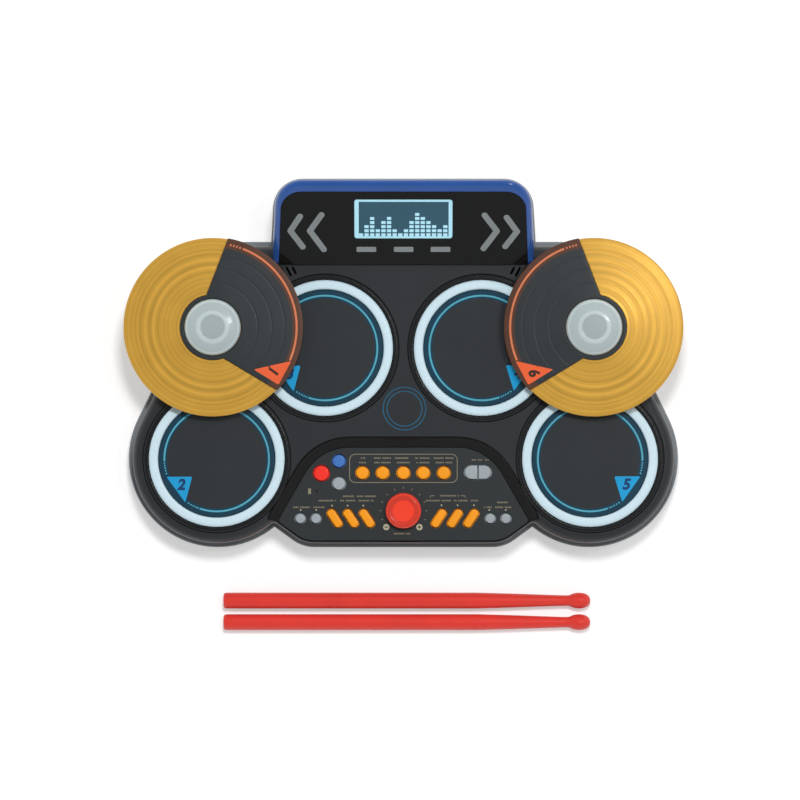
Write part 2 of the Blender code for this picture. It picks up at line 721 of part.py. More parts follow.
def tempo_half(side):
    """Half of a pill, with no flange at the split."""

    def half(out=0.0):
        length, width = TEMPO_KEY
        edge = TEMPO_KEY_SPLIT / 2
        end = arc((length / 2 - width / 2, 0.0), width / 2 + out, -90.0, 90.0, 6)
        points = [Vector((edge, end[0].y)), *end, Vector((edge, end[-1].y))]
        return points if side > 0 else [Vector((-p.x, p.y)) for p in reversed(points)]

    return half


def key_list():
    keys = [
        ("power_button", round_key(POWER_KEY_RADIUS), (-0.0640, -0.0510), 0.0, "d63a38"),
        ("wireless_button", round_key(ROUND_KEY_RADIUS), (-0.0503, -0.0415), 0.0, "2f62b8"),
        ("input_button", round_key(ROUND_KEY_RADIUS), (-0.0503, -0.0590), 0.0, "8d8f90"),
        ("tempo_down_button", tempo_half(-1), TEMPO_KEY_CENTRE, 0.0, "8b8e90"),
        ("tempo_up_button", tempo_half(1), TEMPO_KEY_CENTRE, 0.0, "8b8e90"),
    ]
    for index, x in enumerate((-0.0319, -0.0161, 0.0, 0.0156, 0.0316)):
        name = f"mode_button_{index + 1}"
        keys.append((name, round_key(ROUND_KEY_RADIUS), (x, -0.0507), 0.0, "ef9a2b"))
    for index, x in enumerate((-0.0804, -0.0682, 0.0679, 0.0801)):
        name = f"effect_button_{index + 1}"
        keys.append((name, round_key(SMALL_KEY_RADIUS), (x, -0.0863), 0.0, "85888a"))
    for index, x in enumerate((-0.0536, -0.0410, -0.0285, 0.0277, 0.0403, 0.0530)):
        name = f"select_button_{index + 1}"
        tilt = math.copysign(SLANTED_KEY_TILT, -x)
        keys.append((name, slanted_key, (x, -0.0862), tilt, "f0a02c"))
    return keys


KEY_FLANGE_TOP = TRAY_FLOOR_Z
KEY_FLANGE_Z = KEY_FLANGE_TOP - 0.0027
KEY_TOP_Z = PANEL_Z + KEY_PROUD


def key(name, shape, parent, colour):
    draft = 0.0005
    rings = [
        (KEY_FLANGE, KEY_FLANGE_Z),
        (KEY_FLANGE, KEY_FLANGE_TOP),
        (0.0, KEY_FLANGE_TOP),
        (-draft, KEY_TOP_Z),
    ]
    body = place(loft(name, [level(shape(out), height) for out, height in rings]), parent)
    dress(body, colour, 0.4)


def keys(root):
    for name, shape, centre, tilt, colour in key_list():
        turn = (0.0, 0.0, math.radians(tilt))
        marker = axis_empty(f"{name}_axis", root, (*centre, 0.0), turn)
        key(name, shape, marker, colour)


def control_panel(root):
    chamfer = 0.0004
    rings = [
        (0.0, PANEL_Z - PANEL_THICKNESS),
        (0.0, PANEL_Z - chamfer),
        (chamfer, PANEL_Z),
    ]
    panel = loft("control_panel", [level(outline(PANEL, inset), z) for inset, z in rings])
    dress(place(panel, root), "26282a", 0.45)
    bottom, top = PANEL_Z - 2 * PANEL_THICKNESS, PANEL_Z + PANEL_THICKNESS
    holes = [
        (moved(shape(KEY_CLEARANCE), centre, tilt), bottom, top)
        for name, shape, centre, tilt, _ in key_list()
        if not name.startswith("tempo")
    ]
    length, width = (size + 2 * KEY_CLEARANCE for size in TEMPO_KEY)
    pill = rounded_rectangle(length, width, width / 2, steps=3)
    pill = [point for point, after in zip(pill, pill[1:] + pill[:1]) if (point - after).length > GAP]
    holes.append((moved(pill, TEMPO_KEY_CENTRE), bottom, top))
    holes.append((circle(KNOB_STEM_RADIUS + 2 * GAP, 12, KNOB_CENTRE), bottom, top))
    holes.append((circle(0.0008, 8, MICROPHONE_CENTRE), bottom, top))
    boolean(panel, place(prisms("key_holes", holes), root))


# Under the panel: the key membrane lies on the board, and its domes stop just under the keys
MEMBRANE_Z = MAIN_BOARD_Z + BOARD_THICKNESS + GAP
MEMBRANE_THICKNESS = 0.0010
DOME_TOP_Z = KEY_FLANGE_Z - KEY_TRAVEL - GAP
ENCODER_TOP_Z = PANEL_Z - PANEL_THICKNESS - 2 * GAP


def electronics(root):
    board = (outline(PANEL, BOARD_INSET), MAIN_BOARD_Z, MAIN_BOARD_Z + BOARD_THICKNESS)
    main_board = place(prisms("main_board", [board]), root)
    dress(main_board, "2f6b3a", 0.5)

    sheet_top = MEMBRANE_Z + MEMBRANE_THICKNESS
    sheet = (outline(PANEL, MEMBRANE_INSET), MEMBRANE_Z, sheet_top)
    membrane = place(prisms("key_membrane", [sheet]), root)
    dress(membrane, "b9bdbc", 0.7)
    domes = []
    for name, _, centre, _, _ in key_list():
        shift = {"tempo_down_button": -0.0055, "tempo_up_button": 0.0055}.get(name, 0.0)
        at = Vector(centre) + Vector((shift, 0.0))
        domes.append((circle(0.0025, 6, at), sheet_top - MEMBRANE_THICKNESS / 2, DOME_TOP_Z))
    boolean(membrane, place(prisms("key_domes", domes), root), "UNION")
    hole = (circle(ENCODER_RADIUS + 5 * GAP, 12, KNOB_CENTRE), MEMBRANE_Z - GAP, sheet_top + GAP)
    boolean(membrane, place(prisms("encoder_hole", [hole]), root))

    bore = KNOB_STEM_RADIUS + GAP
    profile = [
        (bore, MEMBRANE_Z),
        (ENCODER_RADIUS, MEMBRANE_Z),
        (ENCODER_RADIUS, ENCODER_TOP_Z),
        (bore, ENCODER_TOP_Z),
    ]
    encoder = place(turned("volume_encoder", profile, 12), root, (*KNOB_CENTRE, 0.0))
    dress(encoder, "9c9fa0", 0.35, 0.8)

    top = PANEL_Z - PANEL_THICKNESS - GAP
    capsule = (circle(MICROPHONE_RADIUS, 12, MICROPHONE_CENTRE), top - 0.0028, top)
    dress(place(prisms("microphone", [capsule]), root), "b0b2b3", 0.35, 0.8)


def volume_knob(root):
    marker = axis_empty("volume_knob_axis", root, (*KNOB_CENTRE, 0.0))
    bottom = PANEL_Z + GAP
    top = bottom + KNOB_HEIGHT
    profile = [
        (0.0, MEMBRANE_Z + 0.0015),
        (KNOB_STEM_RADIUS, MEMBRANE_Z + 0.0015),
        (KNOB_STEM_RADIUS, bottom),
        (KNOB_RADIUS, bottom),
        (KNOB_RADIUS - 0.0004, top - 0.0020),
        (KNOB_RADIUS - 0.0016, top - 0.0004),
        (KNOB_RADIUS - 0.0030, top),
        (KNOB_RADIUS - 0.0045, top - 0.0008),
        (0.0, top - 0.0008),
    ]
    dress(place(turned("volume_knob", profile, 20), marker), "e0302c", 0.35)


# The display housing: its top is a plane that climbs towards the back, with rounded edges
SLOPE = math.tan(math.radians(DISPLAY_TILT))
FASCIA_FRONT_Z = DECK_Z + 0.0036
FASCIA_PROUD = 0.0006  # of the housing's rim above the fascia
HOUSING_EDGE = [(0.0, 0.0055), (0.0010, 0.0025), (0.0026, 0.0008), (0.0045, 0.0)]
HOUSING_SKIRT_Y = BACK_EDGE[1] + GAP
ROOF_THICKNESS = 0.0045
POCKET_DEPTH = FASCIA_THICKNESS + GAP


def housing_top(drop):
    return lambda y: FASCIA_FRONT_Z + FASCIA_PROUD + (y - DISPLAY_FRONT_Y) * SLOPE - drop


def display_plan(inset, front):
    """The housing seen from above: sharp front corners, slightly narrowing sides, round back."""
    centre, radius, first, last = DISPLAY_BACK
    normal = direction(DISPLAY_SIDE_BEARING)
    side_x = (DISPLAY_SIDE_EDGE[1] - inset - front * normal.y) / normal.x
    half = [Vector((side_x, front)), *arc(centre, radius - inset, first, last, 6)]
    return half + [Vector((-point.x, point.y)) for point in reversed(half)]


def fascia_plan(inset, front=0.0):
    """The fascia's outline on the slope: across it, and up it from its front edge."""
    half_width = DISPLAY_HALF_WIDTH - FASCIA_SIDE_RIM - inset
    length = (DISPLAY_DEPTH - FASCIA_BACK_RIM) / math.cos(math.radians(DISPLAY_TILT))
    narrowing = length * math.tan(math.radians(DISPLAY_SIDE_BEARING)) * 0.7
    side = (math.degrees(math.atan2(narrowing, length)), 0.0)
    normal = direction(side[0])
    side_edge = (side[0], half_width * normal.x)
    radius = FASCIA_CORNER_RADIUS - inset
    centre = corner(side_edge, (90.0, length - inset), radius)
    front_x = half_width - front * normal.y / normal.x
    half = [Vector((front_x, front)), *arc(centre, radius, side[0], 90.0, 6)]
    return half + [Vector((-point.x, point.y)) for point in reversed(half)]


def display_housing(root, slope):
    rings = [level(display_plan(0.0, DISPLAY_FRONT_Y), SEAM_Z + GAP)]
    for inset, drop in HOUSING_EDGE:
        rings.append(level(display_plan(inset, DISPLAY_FRONT_Y + inset), housing_top(drop)))
    housing = place(loft("display_housing", rings), root)
    dress(housing, "2440a0", 0.25)

    over_deck = rectangle(0.4, 2 * (HOUSING_SKIRT_Y - DISPLAY_FRONT_Y), (0.0, DISPLAY_FRONT_Y))
    boolean(
        housing,
        place(prisms("deck_clearance", [(over_deck, SEAM_Z - WALL, DECK_Z + GAP)]), root),
    )
    roof_drop = ROOF_THICKNESS / math.cos(math.radians(DISPLAY_TILT))
    skirt = HOUSING_SKIRT_Y + WALL
    inside = [
        level(display_plan(WALL, skirt), SEAM_Z - WALL),
        level(display_plan(WALL, skirt), housing_top(roof_drop)),
    ]
    boolean(housing, place(loft("display_inside", inside), root))

    pocket = fascia_plan(-GAP, front=-4 * WALL)
    pocket_cut = prisms("fascia_pocket", [(pocket, -POCKET_DEPTH, 4 * WALL)])
    boolean(housing, place(pocket_cut, slope))
    opening = fascia_plan(FASCIA_LEDGE, front=2 * FASCIA_LEDGE)
    module_depth = FASCIA_THICKNESS + LCD_MODULE[2] + BOARD_THICKNESS + 2 * WALL
    opening_cut = prisms("display_opening", [(opening, -module_depth, WALL)])
    boolean(housing, place(opening_cut, slope))


def display(root):
    slope = axis_empty(
        "display_slope",
        root,
        (0.0, DISPLAY_FRONT_Y, FASCIA_FRONT_Z),
        (math.radians(DISPLAY_TILT), 0.0, 0.0),
    )
    display_housing(root, slope)

    fascia = place(prisms("display_fascia", [(fascia_plan(0.0), -FASCIA_THICKNESS, 0.0)]), slope)
    dress(fascia, "0b0c0e", 0.12)
    middle = (0.0, SCREEN_CENTRE)
    window = (rectangle(*SCREEN, middle), -2 * FASCIA_THICKNESS, FASCIA_THICKNESS)
    boolean(fascia, place(prisms("screen_window", [window]), slope))

    width, length, depth = LCD_MODULE
    module_top = -FASCIA_THICKNESS - GAP
    body = (rectangle(width, length, middle), module_top - depth, module_top)
    module = place(prisms("lcd_module", [body]), slope)
    dress(module, "3a6b78", 0.3)
    glass = rectangle(SCREEN[0] - 2 * KEY_CLEARANCE, SCREEN[1] - 2 * KEY_CLEARANCE, middle)
    raised = (glass, module_top - depth / 2, -0.0008)
    boolean(module, place(prisms("lcd_glass", [raised]), slope), "UNION")

    board_top = module_top - depth - GAP
    board = (rectangle(*DISPLAY_BOARD, middle), board_top - BOARD_THICKNESS, board_top)
    dress(place(prisms("display_board", [board]), slope), "2f6b3a", 0.5)


# Cymbals: the arm turns on its pin over the boss, and the disc's spigot sits in the arm
ARM_Z = PIVOT_BOSS_Z + GAP
ARM_TOP_Z = ARM_Z + ARM_THICKNESS
HUB_TOP_Z = ARM_TOP_Z + 0.0024
DISC_Z = HUB_TOP_Z + GAP - 0.0009
DISC_EDGE_Z = DISC_Z + CYMBAL_THICKNESS
DISC_HUB_RADIUS = 0.0230
DISC_HUB_Z = DISC_EDGE_Z + CYMBAL_RISE
LENS_SEAT_RADIUS = LENS_RADIUS - GAP


def disc_top(radius):
    """The disc's top is flat over its hub and falls evenly from there to its edge."""
    share = (radius - DISC_HUB_RADIUS) / (CYMBAL_RADIUS - DISC_HUB_RADIUS)
    return DISC_HUB_Z - CYMBAL_RISE * max(share, 0.0)


def strike_plan(side, clearance, reach):
    """A collar round the hub and, running out from it, a wedge of the disc."""
    collar = COLLAR_RADIUS + clearance
    half_angle = WEDGE_HALF_ANGLE
    back_off = clearance / math.sin(math.radians(half_angle))
    apex = WEDGE_APEX - direction(WEDGE_BEARING) * back_off

    def crossing(edge, radius):
        along = direction(WEDGE_BEARING + edge * half_angle)
        middle = apex.dot(along)
        run = -middle + math.sqrt(middle**2 - apex.dot(apex) + radius**2)
        return bearing(apex + along * run)

    outer = [crossing(edge, reach) for edge in (-1, 1)]
    inner = [crossing(edge, collar) for edge in (-1, 1)]
    points = arc((0.0, 0.0), reach, outer[0] - 360.0, outer[1], 12)
    points += arc((0.0, 0.0), collar, inner[1], inner[0], 20)
    return points if side < 0 else [Vector((-point.x, point.y)) for point in reversed(points)]


def cymbal_arm(name, marker, middle):
    """A belt round the pivot and the middle of the cymbal."""
    pivot_radius = PIVOT_BOSS_RADIUS
    reach = middle.length
    heading = bearing(middle)
    spread = math.degrees(math.acos((pivot_radius - ARM_HUB_RADIUS) / reach))
    points = arc((0.0, 0.0), pivot_radius, heading + spread, heading + 360.0 - spread, 10)
    points += arc(middle, ARM_HUB_RADIUS, heading - spread, heading + spread, 12)
    arm = place(prisms(name, [(points, ARM_Z, ARM_TOP_Z)]), marker)
    dress(arm, "c9982f", 0.4)
    hub = (circle(ARM_HUB_RADIUS - GAP, 16, middle), ARM_Z + ARM_THICKNESS / 2, HUB_TOP_Z)
    boolean(arm, place(prisms(f"{name}_hub", [hub]), marker), "UNION")
    pin = (circle(PIN_HOLE_RADIUS, 12), ARM_Z - WALL, ARM_TOP_Z + WALL)
    spigot = (circle(SPIGOT_RADIUS + GAP, 16, middle), ARM_Z - WALL, HUB_TOP_Z + WALL)
    boolean(arm, place(prisms(f"{name}_bores", [pin, spigot]), marker))


def cymbal_disc(name, marker, middle, side):
    hub = ARM_HUB_RADIUS + 0.0010
    profile = [
        (0.0, ARM_TOP_Z - 0.0022),
        (SPIGOT_RADIUS, ARM_TOP_Z - 0.0022),
        (SPIGOT_RADIUS, HUB_TOP_Z + GAP),
        (hub, HUB_TOP_Z + GAP),
        (hub + 0.0010, DISC_Z),
        (CYMBAL_RADIUS - 0.0030, DISC_Z),
        (CYMBAL_RADIUS, DISC_Z + 0.0010),
        (CYMBAL_RADIUS, DISC_EDGE_Z - 0.0007),
        (CYMBAL_RADIUS - 0.0009, DISC_EDGE_Z),
        (DISC_HUB_RADIUS, DISC_HUB_Z),
        (0.0, DISC_HUB_Z),
    ]
    disc = place(turned(name, profile, DISC_SEGMENTS), marker, (*middle, 0.0))
    dress(disc, "d2a33a", 0.3, 0.4)
    depth = STRIKE_PAD_THICKNESS - STRIKE_PAD_PROUD + STRIKE_PAD_TRAVEL + GAP
    beyond = CYMBAL_RADIUS + 0.0050
    high = DISC_HUB_Z + 0.0100
    floor = [
        (LENS_SEAT_RADIUS, DISC_HUB_Z - depth),
        (DISC_HUB_RADIUS, DISC_HUB_Z - depth),
        (beyond, disc_top(beyond) - depth),
        (beyond, high),
        (LENS_SEAT_RADIUS, high),
    ]
    pocket = place(turned(f"{name}_pocket", floor, DISC_SEGMENTS), marker, (*middle, 0.0))
    plan = strike_plan(side, STRIKE_PAD_CLEARANCE, beyond + 0.0050)
    wall = place(prisms(f"{name}_pocket_wall", [(plan, DISC_Z, high + WALL)]), marker, (*middle, 0.0))
    boolean(pocket, wall, "INTERSECT")
    boolean(disc, pocket)


def strike_pad(name, marker, middle, side):
    inner = LENS_RADIUS + GAP
    top = STRIKE_PAD_PROUD
    bottom = STRIKE_PAD_PROUD - STRIKE_PAD_THICKNESS
    profile = [
        (inner, DISC_HUB_Z + bottom),
        (DISC_HUB_RADIUS, DISC_HUB_Z + bottom),
        (STRIKE_PAD_RADIUS, disc_top(STRIKE_PAD_RADIUS) + bottom),
        (STRIKE_PAD_RADIUS, disc_top(STRIKE_PAD_RADIUS) + top - 0.0004),
        (STRIKE_PAD_RADIUS - 0.0004, disc_top(STRIKE_PAD_RADIUS - 0.0004) + top),
        (DISC_HUB_RADIUS, DISC_HUB_Z + top),
        (inner, DISC_HUB_Z + top),
    ]
    pad = place(turned(name, profile, DISC_SEGMENTS), marker, (*middle, 0.0))
    dress(pad, "30343a", 0.5)
    plan = strike_plan(side, 0.0, STRIKE_PAD_RADIUS + 0.0050)
    wedge = prisms(f"{name}_plan", [(plan, DISC_Z, DISC_HUB_Z + 0.0100)])
    boolean(pad, place(wedge, marker, (*middle, 0.0)), "INTERSECT")


def hub_lens(name, marker, middle):
    bottom = DISC_HUB_Z + GAP
    dome = [(0.0, 0.0017), (0.0012, 0.0041), (0.0043, 0.0061), (0.0088, 0.0074), (0.0123, 0.0077)]
    profile = [(0.0, bottom), (LENS_RADIUS, bottom)]
    profile += [(LENS_RADIUS - inset, bottom + rise) for inset, rise in dome]
    profile += [(LENS_RADIUS - 0.0128, bottom + 0.0071), (0.0, bottom + 0.0071)]
    dress(place(turned(name, profile, 20), marker, (*middle, 0.0)), "d8d9d8", 0.35)


def pivot_pin(name, root, pivot):
    head_z = DECK_Z - WALL - GAP
    washer_z = ARM_TOP_Z + GAP
    profile = [
        (0.0, head_z - 0.0028),
        (0.0050, head_z - 0.0028),
        (0.0050, head_z),
        (PIN_RADIUS, head_z),
        (PIN_RADIUS, washer_z),
        (PIN_HEAD_RADIUS, washer_z),
        (PIN_HEAD_RADIUS, washer_z + 0.0011),
        (0.0, washer_z + 0.0011),
    ]
    dress(place(turned(name, profile, 12), root, (*pivot, 0.0)), "8f9193", 0.35, 0.9)


def cymbals(root):
    for side, pivot in both_sides(PIVOT).items():
        middle = both_sides(CYMBAL_OFFSET)[side]
        sign = -1 if side == "left" else 1
        marker = axis_empty(f"{side}_cymbal_axis", root, (*pivot, 0.0))
        cymbal_arm(f"cymbal_arm_{side}", marker, middle)
        cymbal_disc(f"cymbal_disc_{side}", marker, middle, sign)
        strike_pad(f"cymbal_strike_pad_{side}", marker, middle, sign)
        hub_lens(f"hub_lens_{side}", marker, middle)
        pivot_pin(f"pivot_pin_{side}", root, pivot)


STICK_HALF_WIDTH = STICK_RADIUS * math.cos(math.pi / STICK_SEGMENTS)


def drumsticks(root):
    """A straight shaft that tapers to a neck before its round tip, lying on one of its flats."""
    tip = STICK_LENGTH - 0.0175
    profile = [
        (0.0, 0.0),
        (STICK_RADIUS - 0.0010, 0.0),
        (STICK_RADIUS, 0.0010),
        (STICK_RADIUS, STICK_LENGTH - 0.0895),
        (STICK_NECK_RADIUS, tip - 0.0030),
        (STICK_NECK_RADIUS, tip),
    ]
    ball = (STICK_LENGTH - tip) / 2
    for angle in (30.0, 60.0, 90.0, 120.0, 150.0):
        swell = math.sin(math.radians(angle))
        height = tip + ball * (1 - math.cos(math.radians(angle)))
        if STICK_RADIUS * swell > STICK_NECK_RADIUS or angle > 90.0:
            profile.append((STICK_RADIUS * swell, height))
    profile.append((0.0, STICK_LENGTH))
    for name, row in STICK_ROWS.items():
        marker = axis_empty(f"{name}_axis", root, (STICK_BUTT_X, row, STICK_HALF_WIDTH))
        roll = math.pi / STICK_SEGMENTS
        stick = place(turned(name, profile, STICK_SEGMENTS), marker)
        stick.rotation_euler = (Matrix.Rotation(math.pi / 2, 3, "Y") @ Matrix.Rotation(roll, 3, "Z")).to_euler()
        dress(stick, "e14139", 0.4)


def drum_set():
    back = DISPLAY_BACK_EDGE[1] - BOTTOM_CASE_OUTSIDE[3][0]
    front = min(STICK_ROWS.values()) - STICK_HALF_WIDTH
    root = axis_empty("drum_pad_origin", None, (0.0, -(back + front) / 2, 0.0))
    bottom_case(root)
    top_case(root)
    drum_pads(root)
    control_panel(root)
    keys(root)
    electronics(root)
    volume_knob(root)
    display(root)
    speakers(root)
    battery_door(root)
    feet(root)
    cymbals(root)
    drumsticks(root)


def main():
    for solid in list(bpy.data.objects):
        bpy.data.objects.remove(solid, do_unlink=True)
    drum_set()


main()
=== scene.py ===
"""The finished surfaces of a children's electronic drum pad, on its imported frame.

Shapes are worked out in millimetres of the part's drawing, the player at -Y, and piece() turns
them into metres of the frame. A shape is its points and the faces that join them."""

import math

import bmesh
import bpy
import numpy as np
from bpy.props import FloatProperty, FloatVectorProperty, PointerProperty
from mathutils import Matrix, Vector


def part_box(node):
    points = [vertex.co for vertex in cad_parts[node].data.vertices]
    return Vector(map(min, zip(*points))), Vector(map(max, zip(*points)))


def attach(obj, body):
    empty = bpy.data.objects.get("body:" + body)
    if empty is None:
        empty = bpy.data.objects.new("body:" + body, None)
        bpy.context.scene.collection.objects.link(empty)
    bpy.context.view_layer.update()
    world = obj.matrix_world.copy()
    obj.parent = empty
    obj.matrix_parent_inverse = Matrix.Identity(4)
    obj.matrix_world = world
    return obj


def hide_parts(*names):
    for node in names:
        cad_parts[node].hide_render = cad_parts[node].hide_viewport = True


bl_info = {
    "name": "Electronic drum pad",
    "version": (1, 0, 0),
    "blender": (4, 5, 0),
    "location": "3D View > Sidebar > Drum Pad",
    "description": "Builds the finished surfaces of an electronic drum pad round its frame",
    "category": "Add Mesh",
}

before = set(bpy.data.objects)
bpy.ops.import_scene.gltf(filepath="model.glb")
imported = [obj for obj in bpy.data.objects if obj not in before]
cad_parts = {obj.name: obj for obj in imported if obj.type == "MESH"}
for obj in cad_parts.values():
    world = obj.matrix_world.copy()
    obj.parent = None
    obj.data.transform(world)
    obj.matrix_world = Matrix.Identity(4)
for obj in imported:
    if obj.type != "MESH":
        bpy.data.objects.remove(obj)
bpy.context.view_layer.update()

MM = 0.001
DRAWING_Y = -2.159  # of the drawing's middle in the frame
GAP = 0.3  # between two pieces that sit on or in each other
WALL = 2.4  # of the mouldings
INK = 0.06  # half the thickness of printed marks
ARC_STEP = 4.0  # degrees between the points of a rounded outline
TURN_STEPS = 128  # round a turned piece
SHARP_ANGLE = math.radians(35.0)  # between faces that meet in a sharp edge
FLAT_COSINE = 0.99999  # of a normal that counts as square
UP = (0.0, 0.0, 1.0)
SIDES = {"left": -1, "right": 1}

# Levels above the table
FLOOR_Z = 2.5  # of the bottom case's underside
SEAM_Z = 20.0
DECK_Z = 46.0
PLATE_Z = 41.0
PLATE_THICKNESS = 2.0
PAD_TOP_Z = 48.1
BOSS_Z = 49.5
ARM_Z = 49.8
ARM_TOP_Z = 55.2
HUB_TOP_Z = 57.6
DISC_Z = 57.0
DISC_EDGE_Z = 61.2
DISC_HUB_Z = 64.3

# Radii of the turned pieces
SEAT_RADIUS = 58.8
DISC_RADIUS = 69.5
DISC_HUB_RADIUS = 23.0
STRIKE_RADIUS = 70.2
STRIKE_PROUD = 1.0  # of a strike pad over its disc
PIN_HOLE_RADIUS = 3.3
PIVOT_END_RADIUS = 10.0  # of an arm's end round its pin
HUB_END_RADIUS = 13.0  # of its end round the hub

# The wedge of the left cymbal's strike pad, from the middle of its disc
WEDGE_APEX = np.array((-17.6, -8.3))
WEDGE_BEARING = 19.0
WEDGE_HALF_ANGLE = 50.0

# The display from above, and its slope: the front edge, and the tilt
DISPLAY_HALF_WIDTH = 102.5
DISPLAY_DEPTH = 65.3
DISPLAY_STEP_Y = 126.7  # where the housing steps down over the case's back edge
SLOPE_Y = 112.0
SLOPE_Z = 49.6
SLOPE_TILT = math.radians(27.5)
SLOPE_UP = (0.0, -math.sin(SLOPE_TILT), math.cos(SLOPE_TILT))

# The photographed view from above, in pixels: its middle, and where the drawing's middle is in it
VIEW_MIDDLE = (400.0, 400.0)
VIEW_ORIGIN = (403.4, 408.0)
VIEW_PIXEL = 0.78


# Shapes ------------------------------------------------------------------------------------------
def direction(degrees):
    angle = np.radians(degrees)
    return np.stack((np.cos(angle), np.sin(angle)), axis=-1)


def middle(node):
    """The middle of a node in the drawing, in millimetres."""
    low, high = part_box(node)
    centre = (np.array(low) + np.array(high)) / 2 / MM
    return centre - (0.0, DRAWING_Y, 0.0)


def arc(centre, radius, first, last, steps):
    return np.asarray(centre)[:2] + radius * direction(np.linspace(first, last, steps + 1))


def circle(radius, centre, steps=48):
    return arc(centre, radius, 0.0, 360.0, steps)[:-1]


def rounded_rectangle(width, length, radius, steps=8):
    x, y = width / 2 - radius, length / 2 - radius
    corners = ((x, y), (-x, y), (-x, -y), (x, -y))
    return np.concatenate(
        [arc(at, radius, 90.0 * turn, 90.0 * turn + 90.0, steps) for turn, at in enumerate(corners)]
    )


def moved(points, centre, turn=0.0):
    across, up = direction(turn), direction(turn + 90.0)
    return np.asarray(centre)[:2] + points[:, :1] * across + points[:, 1:] * up


def altered(shape, change):
    """A shape whose points have gone through a function."""
    points, faces = shape
    return change(points), faces


def shifted(shape, by):
    return altered(shape, lambda points: points + by)


def mirrored(shape, side=-1):
    """A shape turned over to the left (-1) or kept at the right (1)."""
    return altered(shape, lambda points: points * (side, 1.0, 1.0))


def joined(*shapes):
    """Several shapes as one, with their faces renumbered."""
    points, faces, start = [], [], 0
    for some_points, some_faces in shapes:
        points.append(some_points)
        faces += [[index + start for index in face] for face in some_faces]
        start += len(some_points)
    return np.concatenate(points), faces


def level(points, height):
    """Points of an outline in space, at a height that may follow from their y."""
    z = height(points[:, 1]) if callable(height) else np.full(len(points), float(height))
    return np.column_stack((points, z))


def skin(rings, closed=False):
    """Quads between each ring and the next; closed also joins the last to the first, and an open
    end that isn't a pole is capped."""
    rings = np.asarray(rings, dtype=float)
    count, steps = rings.shape[:2]
    rows = np.arange(count if closed else count - 1)[:, None]
    low = rows * steps + np.arange(steps)
    high = (rows + 1) % count * steps + np.arange(steps)
    quads = np.stack((low, np.roll(low, -1, 1), np.roll(high, -1, 1), high), axis=-1)
    faces = quads.reshape(-1, 4).tolist()
    if not closed:
        for ring in (0, count - 1):
            if np.ptp(rings[ring], axis=0).max() > 1e-6:
                faces.append([ring * steps + index for index in range(steps)])
    return rings.reshape(-1, 3), faces


def loft(slices):
    """A skin through (outline, height) slices, lowest first."""
    return skin([level(points, height) for points, height in slices])


def column(points, bottom, top):
    return loft([(points, bottom), (points, top)])


def softened(profile, radius, steps=4, closed=False):
    """A profile with each corner P replaced by the parabola from A to B that P pulls on:
    (1-t)^2 A + 2t(1-t) P + t^2 B, A and B being radius away from P along its two edges, or 0.45 of
    a shorter edge."""
    corners = np.asarray(profile, dtype=float)
    before, after = np.roll(corners, 1, 0), np.roll(corners, -1, 0)
    runs = [np.linalg.norm(other - corners, axis=1, keepdims=True) for other in (before, after)]
    trims = [np.minimum(radius, 0.45 * run) / np.maximum(run, 1e-9) for run in runs]
    start = corners + (before - corners) * trims[0]
    stop = corners + (after - corners) * trims[1]
    share = np.linspace(0.0, 1.0, steps + 1)[None, :, None]
    start, peak, stop = start[:, None], corners[:, None], stop[:, None]
    curves = (1 - share) ** 2 * start + 2 * share * (1 - share) * peak + share**2 * stop
    if closed:
        return curves.reshape(-1, 2)
    return np.concatenate((corners[:1], curves[1:-1].reshape(-1, 2), corners[-1:]))


def turned(profile, centre=(0.0, 0.0), steps=TURN_STEPS):
    """A profile of (radius, height) swung round an upright axis: x = cx + r cos a and
    y = cy + r sin a. One that doesn't start on the axis is the closed section of a ring."""
    profile = np.asarray(profile, dtype=float)
    around = direction(np.linspace(0.0, 360.0, steps + 1)[:-1])
    rings = np.empty((len(profile), steps, 3))
    rings[..., :2] = np.asarray(centre)[:2] + profile[:, :1, None] * around
    rings[..., 2] = profile[:, 1:]
    return skin(rings, closed=profile[0][0] > 0)


def turned_ring(profile, centre, radius, steps=TURN_STEPS):
    """A closed profile with its corners softened by a radius, swung round an upright axis."""
    return turned(softened(profile, radius, closed=True), centre, steps)


def tiles(centres, width, length, bottom, top, turn=0.0):
    """Flat bars with these middles: a corner of each is its middle plus half the width along the
    turned x and half the length along the turned y."""
    centres = np.asarray(centres, dtype=float)
    signs = np.array(((-1, -1), (1, -1), (1, 1), (-1, 1))) / 2
    turn = np.broadcast_to(turn, len(centres))
    across, up = direction(turn)[:, None], direction(turn + 90.0)[:, None]
    corners = centres[:, None] + signs[:, :1] * across * width + signs[:, 1:] * up * length
    points = np.empty((len(centres), 2, 4, 3))
    points[..., :2] = corners[:, None]
    points[..., 2] = np.array((bottom, top))[:, None]
    box = [[0, 1, 2, 3], [4, 5, 6, 7], [0, 1, 5, 4], [1, 2, 6, 5], [2, 3, 7, 6], [3, 0, 4, 7]]
    faces = (np.arange(len(centres))[:, None, None] * 8 + np.array(box)).reshape(-1, 4).tolist()
    return points.reshape(-1, 3), faces


def band(centre, inner, outer, first, last, heights, steps):
    """A printed arc: a low rectangle of (radius, height) swept through the bearings from first to
    last, its heights given for its inner and its outer edge."""
    low, high = heights
    section = ((inner, low - INK), (outer, high - INK), (outer, high + INK), (inner, low + INK))
    section = np.array(section)
    around = direction(np.linspace(first, last, steps + 1))
    rings = np.empty((steps + 1, 4, 3))
    rings[..., :2] = np.asarray(centre)[:2] + section[:, 0][None, :, None] * around[:, None]
    rings[..., 2] = section[:, 1]
    return skin(rings)


def printed(points, at):
    """An outline as ink on a flat face at a height."""
    return column(points, at - INK, at + INK)


